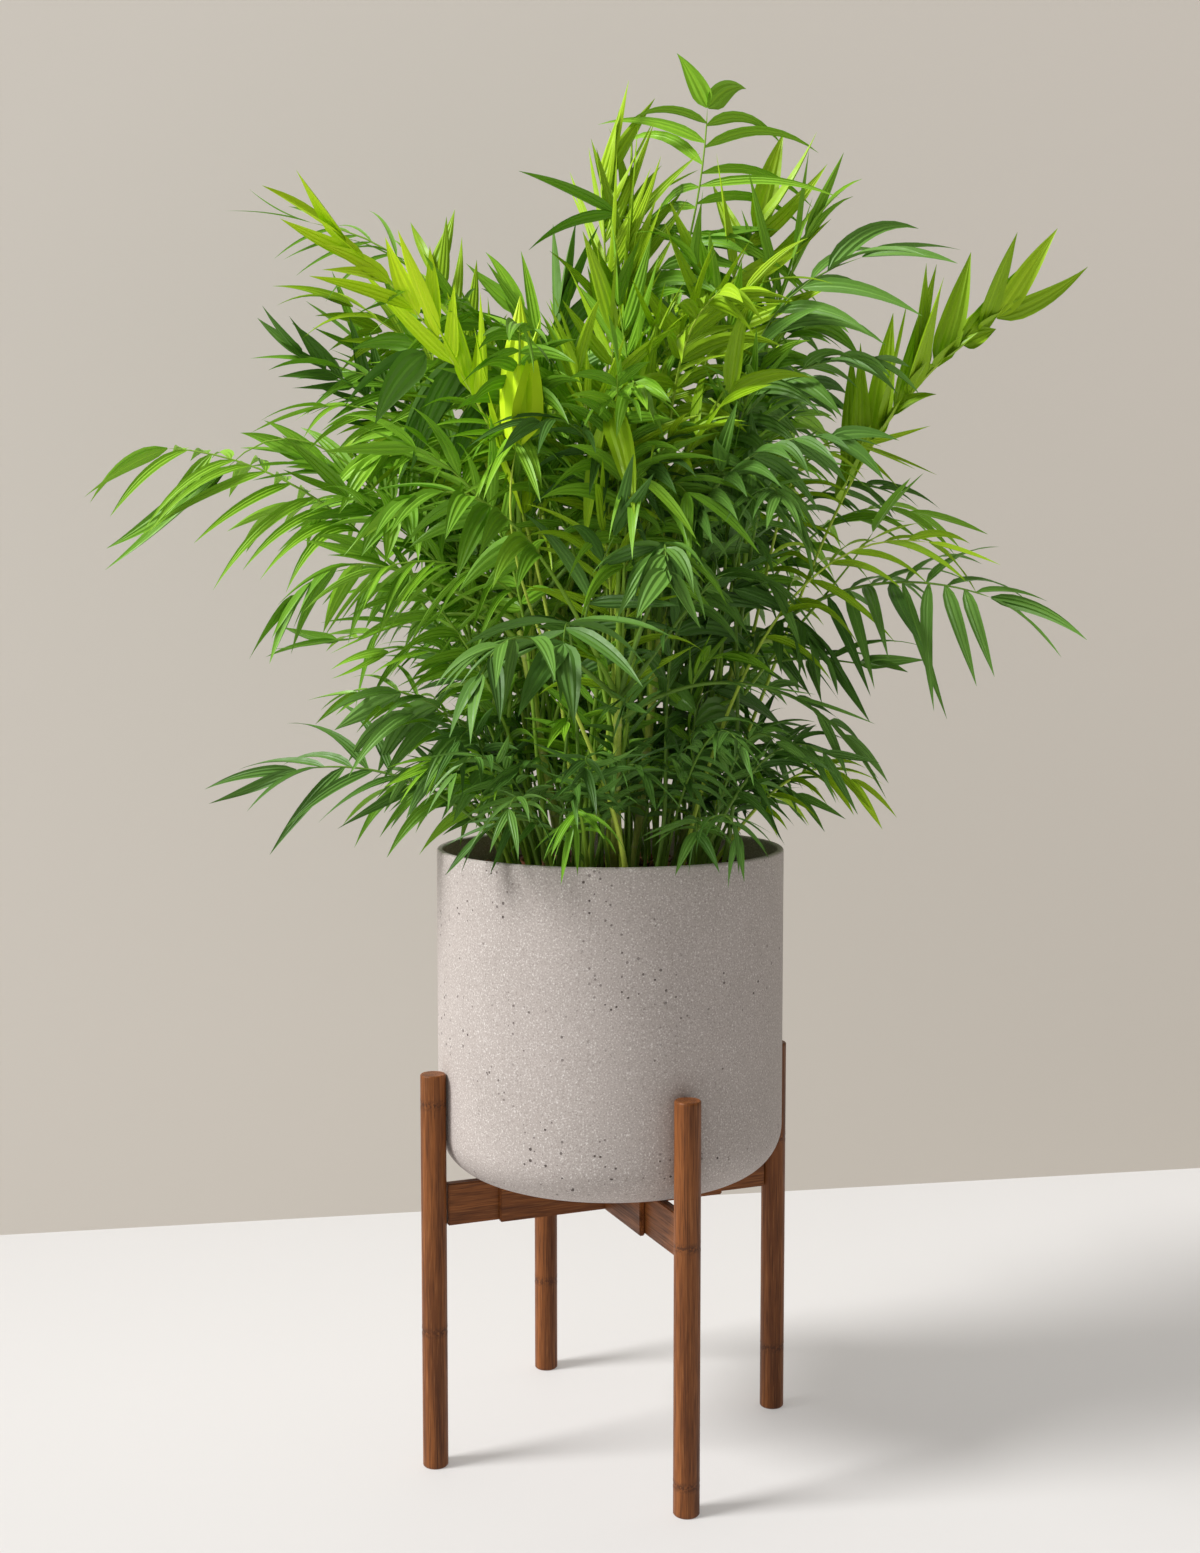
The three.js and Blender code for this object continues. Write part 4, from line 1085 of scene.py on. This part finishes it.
def blade_outline(s):
    """The breadth of a lance-shaped leaflet along its length, with a long fine tip."""
    swelling = np.sin(math.pi / 2 * np.minimum(1, s / LEAF_WIDEST)) ** LEAF_SHOULDER
    past = np.maximum(0, (s - LEAF_WIDEST) / (1 - LEAF_WIDEST))
    narrowing = (1 - past ** LEAF_TAPER[0]) ** LEAF_TAPER[1]
    return np.maximum(lerp(LEAF_ROOT_SHARE, 1, swelling) * narrowing, LEAF_TIP_SHARE)


def blade_grid(roots, way, across, length, width, fall, twist, sweep):
    """Pleated lance-shaped blades that bend down and sweep forward towards their tips."""
    s = np.linspace(0, 1, LEAF_ROWS)[None, :, None]
    drop = UP * fall[:, None, None] * s ** LEAF_FALL_POWER
    heading = unit(way[:, None] + sweep[:, None] * s - drop)
    middle = (heading[:, 1:] + heading[:, :-1]) / 2
    run = np.cumsum(middle, axis=1) * (length / (LEAF_ROWS - 1))[:, None, None]
    centre = roots[:, None] + np.concatenate([np.zeros_like(run[:, :1]), run], axis=1)
    side = across[:, None] - heading * np.sum(across[:, None] * heading, axis=2, keepdims=True)
    side = unit(side)
    face = np.cross(side, heading)
    turn = twist[:, None, None] * s
    side, face = (side * np.cos(turn) + face * np.sin(turn),
                  face * np.cos(turn) - side * np.sin(turn))
    span = (width[:, None] * blade_outline(s[..., 0]))[:, :, None, None]
    wide = side[:, :, None] * LEAF_ACROSS[None, None, :, None]
    deep = face[:, :, None] * LEAF_RELIEF[None, None, :, None]
    return centre[:, :, None] + span * (wide + deep)


def bearer(canes, tip):
    """The cane that leans most nearly towards a tip and bears the fewest fronds so far."""

    def cost(stem):
        way = unit(np.array(tip, float) - stem.top)
        return math.acos(np.clip(way @ stem.lean, -1, 1)) + LOAD_COST * stem.load

    return min(canes, key=cost)


def on_cane(canes, frond, node):
    """The frond with its seat on the side of its cane, lower for each one that the cane bears."""
    if frond.foot:
        return replace(frond, start=(*frond.foot, ROOT_Z), name=node, node=node)
    stem = bearer(canes, frond.tip)
    stem.load += 1
    height = stem.height - SEAT_STEP * (stem.load - SEAT_RAISE)
    centre = stem.centre(height)
    out = level(np.array(frond.tip) - centre)
    start = centre + out * stem.radius(height) * SEAT_DEPTH
    return replace(frond, start=tuple(start), name=node, node=node)


def long_fronds(canes):
    return [on_cane(canes, frond, f"frond_{name}") for name, frond in LONG_FRONDS.items()]


def short_fronds(canes):
    """The finer fronds that stand for no solid of their own."""
    return [replace(on_cane(canes, frond, name), node="") for name, frond in SHORT_FRONDS.items()]


def back_fronds(canes):
    fronds = []
    for k in range(BACK_COUNT):
        plain = BACK_HIGH if k % 2 else BACK_LOW
        reach, _, height = plain.tip
        bearing = bearing_vector(lerp(*BACK_BEARINGS, k / (BACK_COUNT - 1)))
        tip = UP * (SOIL_Z + height) + bearing * reach
        fronds.append(on_cane(canes, replace(plain, tip=tuple(tip)), f"frond_back_{k + 1}"))
    return fronds


def crown_height(x):
    share = np.clip((x + CROWN_STEP) / (2 * CROWN_STEP), 0, 1)
    return lerp(CROWN_LEFT, CROWN_RIGHT, share * share * (3 - 2 * share))


def inside_hollow(tip):
    """A tip drawn back to the crown's right side, which is hollow under the right arch."""
    if tip[2] < HOLLOW_TOP:
        tip[0] = min(tip[0], HOLLOW_WIDTH)
    return tip


def scatter(span, draw):
    return span * (draw() - 0.5)


def top_group(stem, draw):
    """The fronds on a cane's tip, from steep ones to level ones."""
    start = stem.top + UP * (SEAT + SHEATH_HEIGHT / 2)
    fan = MIDDLE_FAN if stem.k == 0 else TOP_FAN
    fronds = []
    for n, (plain_slope, plain_turn) in enumerate(zip(TOP_SLOPES, TOP_TURNS)):
        bearing = turned(stem.bearing, plain_turn * fan + scatter(TOP_SCATTER, draw))
        slope = plain_slope + scatter(TOP_SLOPE_SCATTER, draw)
        reach = lerp(TOP_REACH_SHORT, TOP_REACH_TALL, slope / 90) * lerp(*TOP_REACH_SCATTER, draw())
        tip = start + slope_vector(bearing, slope) * reach
        tip[2] = min(tip[2], crown_height(tip[0]))
        tip = inside_hollow(tip)
        fronds.append(Frond(
            tuple(tip), min(TOP_LEAD_LIMIT, slope + TOP_LEAD), slope - TOP_DROOP,
            lerp(*TOP_LEAF, draw()), TOP_HANG, blade=TOP_BLADE, start=tuple(start),
            broad=TOP_BROAD[(stem.k + n) % len(TOP_BROAD)], tone=tone_at(tip, draw),
            name=f"top_{stem.k}_{n}", node=f"fronds_cane_{stem.k + 1}"))
    return fronds


def tuft(k, draw):
    """Short shoots at the foot of the clump: three spill over the rim and one stands up."""
    radial = bearing_vector(360 * (k + TUFT_FIRST) / TUFT_COUNT)
    start = UP * (ROOT_Z + SHEATH_HEIGHT / 2) + radial * TUFT_RING

    def shoot(turn, reach, lift, lead, rise, leaf, tone):
        out = turned(radial, turn) * TUFT_REACH * lerp(*reach, draw())
        tip = start + out + UP * lerp(*lift, draw())
        return Frond(tuple(tip), lead, rise, leaf, TUFT_HANG, stout=TUFT_STOUT, blade=TUFT_BLADE,
                     tone=tone, start=tuple(start), name=f"tuft_{k}_{turn:.0f}",
                     node=f"tuft_{k + 1}")

    spilling = [shoot(turn + scatter(TUFT_SCATTER, draw), **TUFT_SPILLING) for turn in TUFT_TURNS]
    return [*spilling, shoot(0, **TUFT_UPRIGHT)]


def crown_reach(way):
    """How far the crown reaches from its centre in a direction, as a boxy dome."""
    halves = (*FILL_HALF, FILL_ABOVE if way[2] > 0 else FILL_BELOW)
    return sum(abs(w / half) ** FILL_POWER for w, half in zip(way, halves)) ** (-1 / FILL_POWER)


def filling_fronds(canes, draw):
    """Fronds from the canes' sides to the inside of the crown's outline, in even directions."""
    fronds = []
    for k in range(FILL_COUNT):
        slope = math.degrees(math.asin(lerp(*FILL_SINES, (k + 0.5) / FILL_COUNT)))
        bearing = bearing_vector(GOLDEN_ANGLE * k + scatter(FILL_SCATTER, draw))
        way = slope_vector(bearing, slope)
        depth = lerp(*FILL_DEPTHS, draw() ** FILL_DEPTH_POWER)
        tip = FILL_CENTRE + way * crown_reach(way) * depth
        tip[2] = min(tip[2], crown_height(tip[0] - CREST_FOOT) + FILL_RISE)
        tip = inside_hollow(tip)
        start = cane_seat(canes, draw) if k % 2 else soil_seat(bearing, draw)
        frond = filling_frond(FILL_KINDS[k % len(FILL_KINDS)], start, tip, draw)
        if not in_front_gap(tip):
            fronds.append(replace(frond, name=f"fill_{k}"))
    return fronds


def cane_seat(canes, draw):
    stem = canes[int(draw() * CANE_COUNT)]
    return stem.centre(stem.height * lerp(*FILL_SEATS, draw()))


def soil_seat(bearing, draw):
    """A frond of a young plant grows from the soil itself, on the side that it leans to."""
    radius = FILL_RING * math.sqrt(draw())
    return UP * ROOT_Z + turned(bearing, scatter(FILL_RING_SCATTER, draw)) * radius


def filling_frond(kind, start, tip, draw):
    """A frond that stands up from its seat and arches over to its tip."""
    run = tip - start
    climb = math.degrees(math.atan2(run[2], math.hypot(run[0], run[1])))
    lead = min(LEAD_LIMIT, lerp(climb, 90, FILL_UPRIGHT) + scatter(FILL_LEAD_SCATTER, draw))
    high = crown_share(tip[2])
    return Frond(
        tuple(tip), lead, climb - lerp(*FILL_ARCH, high) + scatter(FILL_ARCH_SCATTER, draw),
        lerp(*kind.leaf, draw()), lerp(*kind.hang, draw()) * lerp(*FILL_HANG, high),
        turn=scatter(FILL_ROLL, draw), broad=lerp(*kind.broad, draw()),
        blade=np.clip(FILL_BLADE / np.linalg.norm(run), *FILL_BLADE_SHARES), pitch=kind.pitch,
        tone=tone_at(tip, draw, kind.bright), start=tuple(start))


def in_front_gap(tip):
    """Whether a tip would hide the bare canes low in the front of the clump."""
    aside = math.degrees(math.atan2(abs(tip[0]), -tip[1]))
    return aside < OPEN_FRONT and tip[2] < OPEN_HEIGHT


def crown_share(height):
    """A height as a share of the way from the soil to the crown's top."""
    return (height - SOIL_Z) / (CROWN_RIGHT - SOIL_Z)


def tone_at(tip, draw, bright=0.0):
    """Low in the crown leaves are deep and at its top bright, partly as old and new leaves are and
    partly as painted shade below and painted light above.
    """
    share = crown_share(tip[2]) + scatter(TONE_SCATTER, draw) + bright
    # Painted light: leaves on the left, where the key light falls, are brighter
    share -= TONE_LIT_SIDE * tip[0] / FILL_HALF[0]
    return ("deep", "mid", "light")[sum(share >= step for step in TONE_STEPS)]


def foot_shoots(draw):
    """Small-leaved shoots from the soil, low and dense round the canes' feet."""
    fronds = []
    for k in range(SHOOT_COUNT):
        radial = bearing_vector(GOLDEN_ANGLE * k)
        start = UP * ROOT_Z + radial * SHOOT_RING * math.sqrt((k + 1) / SHOOT_COUNT)
        bearing = turned(radial, scatter(SHOOT_SCATTER, draw))
        slope = lerp(*SHOOT_SLOPES, draw())
        tip = inside_hollow(start + slope_vector(bearing, slope) * lerp(*SHOOT_REACH, draw()))
        fronds.append(Frond(
            tuple(tip), min(SHOOT_LEAD_LIMIT, slope + SHOOT_LEAD), slope - SHOOT_DROOP,
            lerp(*SHOOT_LEAF, draw()), lerp(*SHOOT_HANG, draw()), stout=SHOOT_STOUT,
            blade=SHOOT_BLADE, turn=scatter(SHOOT_ROLL, draw),
            tone="deep" if draw() < SHOOT_DEEP else "mid", start=tuple(start),
            name=f"shoot_{k}"))
    return fronds


def all_fronds(canes):
    """The long fronds, those on the canes' tips, the tufts and the finer ones between them."""
    draw = seeded(SEED)
    fronds = [*long_fronds(canes), *back_fronds(canes), *short_fronds(canes)]
    for stem in canes:
        fronds += top_group(stem, draw)
    for k in range(TUFT_COUNT):
        fronds += tuft(k, draw)
    return [*fronds, *filling_fronds(canes, draw), *foot_shoots(draw)]


def leaf_shades(tone, count, random):
    """A shade for each leaflet of a frond, mostly the frond's own. The lightest is for midribs."""
    shades = len(TONES[tone]) - 1
    own = int(random.integers(shades))
    has_own = random.uniform(0, 1, count) < OWN_SHADE
    return np.where(has_own, own, random.integers(0, shades, count))


def gather_leaves(fronds):
    """The leaflets of all the fronds in a sheaf for each shade, and their ribs for each tone."""
    leaves = {(tone, k): Sheaf() for tone, shades in TONES.items() for k in range(len(shades))}
    ribs = {tone: Sheaf() for tone in TONES}
    strip_quads = grid_quads(LEAF_ROWS, 2)
    rib_quads = grid_quads(RIB_STATIONS, RIB_SIDES, True)
    for frond in fronds:
        random = frond.random()
        line = rib_line(frond)
        ribs[frond.tone].add(rib_tube(frond, line), rib_quads)
        blades = leaflets(frond, line, random)
        plain = leaf_shades(frond.tone, len(blades), random)
        for strip in range(len(LEAF_ACROSS) - 1):
            shown = plain + (strip == MIDRIB)
            for shade in set(shown):
                strips = blades[shown == shade][:, :, strip:strip + 2]
                leaves[frond.tone, shade].add(strips, strip_quads)
    return leaves, ribs


def nodes_by_tone(fronds):
    """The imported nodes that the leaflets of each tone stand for."""
    nodes = {tone: set() for tone in TONES}
    for frond in fronds:
        if frond.node:
            nodes[TONE_OF_GROUP.get(frond.node, frond.tone)].add(frond.node)
    return nodes


def build_plant():
    canes = [cane(k) for k in range(CANE_COUNT)]
    skin = cane_skin()
    for stem in canes:
        build_cane(stem, skin)
    fronds = all_fronds(canes)
    leaves, ribs = gather_leaves(fronds)
    nodes = nodes_by_tone(fronds)
    for (tone, shade), sheaf in leaves.items():
        material = leaf_skin(f"leaf_{tone}_{shade + 1}", TONES[tone][shade])
        stood_for = sorted(nodes[tone]) if shade == 0 else []
        sheaf.piece(f"leaflets_{tone}_{shade + 1}", material, f"leaf_{tone}", stood_for)
    for tone, sheaf in ribs.items():
        sheaf.piece(f"ribs_{tone}", leaf_skin(f"rib_{tone}", RIB_TONES[tone]), "cane")


# Stage, light and camera


def stage_plane(name, corners, material):
    mesh = bpy.data.meshes.new(name)
    mesh.from_pydata([tuple(np.array(c, float) * MM + AXIS) for c in corners], [], [(0, 1, 2, 3)])
    obj = bpy.data.objects.new(name, mesh)
    bpy.context.scene.collection.objects.link(obj)
    mesh.materials.append(material)


def painted(shader, paint, glow):
    """One paint with a weak glow of its own."""
    shader.set("Base Color", paint)
    shader.set("Emission Color", paint)
    shader.set("Emission Strength", glow)


def build_floor():
    floor = Shader("floor_paint", 0.7)
    painted(floor, FLOOR_COLOUR, FLOOR_GLOW)
    reach = FLOOR_SPAN / 2
    stage_plane("floor", [(-reach, -reach, 0), (reach, -reach, 0), (reach, reach, 0),
                          (-reach, reach, 0)], floor.material)


def build_wall():
    wall = Shader("wall_paint", 0.9)
    # Painted shade: the wall's colour darkens to the right and downwards
    fall = wall.maths("MULTIPLY", wall.along("Z"), WALL_SHADE_SLOPE)
    fade = wall.window(wall.maths("ADD", wall.along("X"), fall), *WALL_SHADE_SPAN)
    painted(wall, wall.mixed(fade, *WALL_LIT_AND_SHADED), WALL_GLOW)
    one_sided(wall)
    left = np.array([*WALL_LEFT, 0.0])
    right = np.array([*WALL_RIGHT, 0.0])
    middle, way = (left + right) / 2, unit(right - left)
    near, far = middle - way * WALL_SPAN, middle + way * WALL_SPAN
    rise = UP * WALL_HEIGHT
    stage_plane("wall", [near, far, far + rise, near + rise], wall.material)


def one_sided(shader):
    """The backdrop shows from its front only, so that it hides nothing from behind."""
    back = shader.node("ShaderNodeNewGeometry").outputs["Backfacing"]
    clear = shader.node("ShaderNodeBsdfTransparent").outputs["BSDF"]
    layers = enumerate((back, shader.surface.outputs["BSDF"], clear))
    mix = shader.node("ShaderNodeMixShader", layers)
    shader.give(shader.tree.nodes["Material Output"].inputs["Surface"], mix.outputs["Shader"])


def distant_light(name, bearing, slope, softness, strength, colour):
    """A soft light from far away, so that the wall and the floor are lit evenly."""
    lamp = bpy.data.lights.new(name, "SUN")
    lamp.angle = math.radians(softness)
    lamp.energy = strength
    lamp.color = colour
    obj = bpy.data.objects.new(name, lamp)
    way = slope_vector(bearing_vector(bearing), slope)
    obj.rotation_mode = "QUATERNION"
    obj.rotation_quaternion = Vector(way).to_track_quat("Z", "Y")
    bpy.context.scene.collection.objects.link(obj)


def build_lights():
    for name, light in LIGHTS.items():
        distant_light(name, *light)
    world = bpy.data.worlds.new("studio")
    world.use_nodes = True
    backdrop = world.node_tree.nodes["Background"]
    backdrop.inputs["Color"].default_value = (*SKY_COLOUR, 1)
    backdrop.inputs["Strength"].default_value = SKY_STRENGTH
    bpy.context.scene.world = world


def build_camera():
    lens = bpy.data.cameras.new("photo_view")
    lens.sensor_width = SENSOR
    lens.lens = FOCAL_PIXELS / FRAME_HEIGHT * SENSOR
    lens.clip_end = CAMERA_REACH
    obj = bpy.data.objects.new("photo_view", lens)
    obj.location = np.array(CAMERA_PLACE) * MM + AXIS
    obj.rotation_euler = (math.radians(90 - CAMERA_PITCH), 0, 0)
    bpy.context.scene.collection.objects.link(obj)
    bpy.context.scene.camera = obj
    bpy.context.scene.view_settings.view_transform = "Standard"


build_pot()
build_soil(np.random.default_rng(SEED))
build_stand()
build_plant()
build_floor()
build_wall()
build_lights()
build_camera()
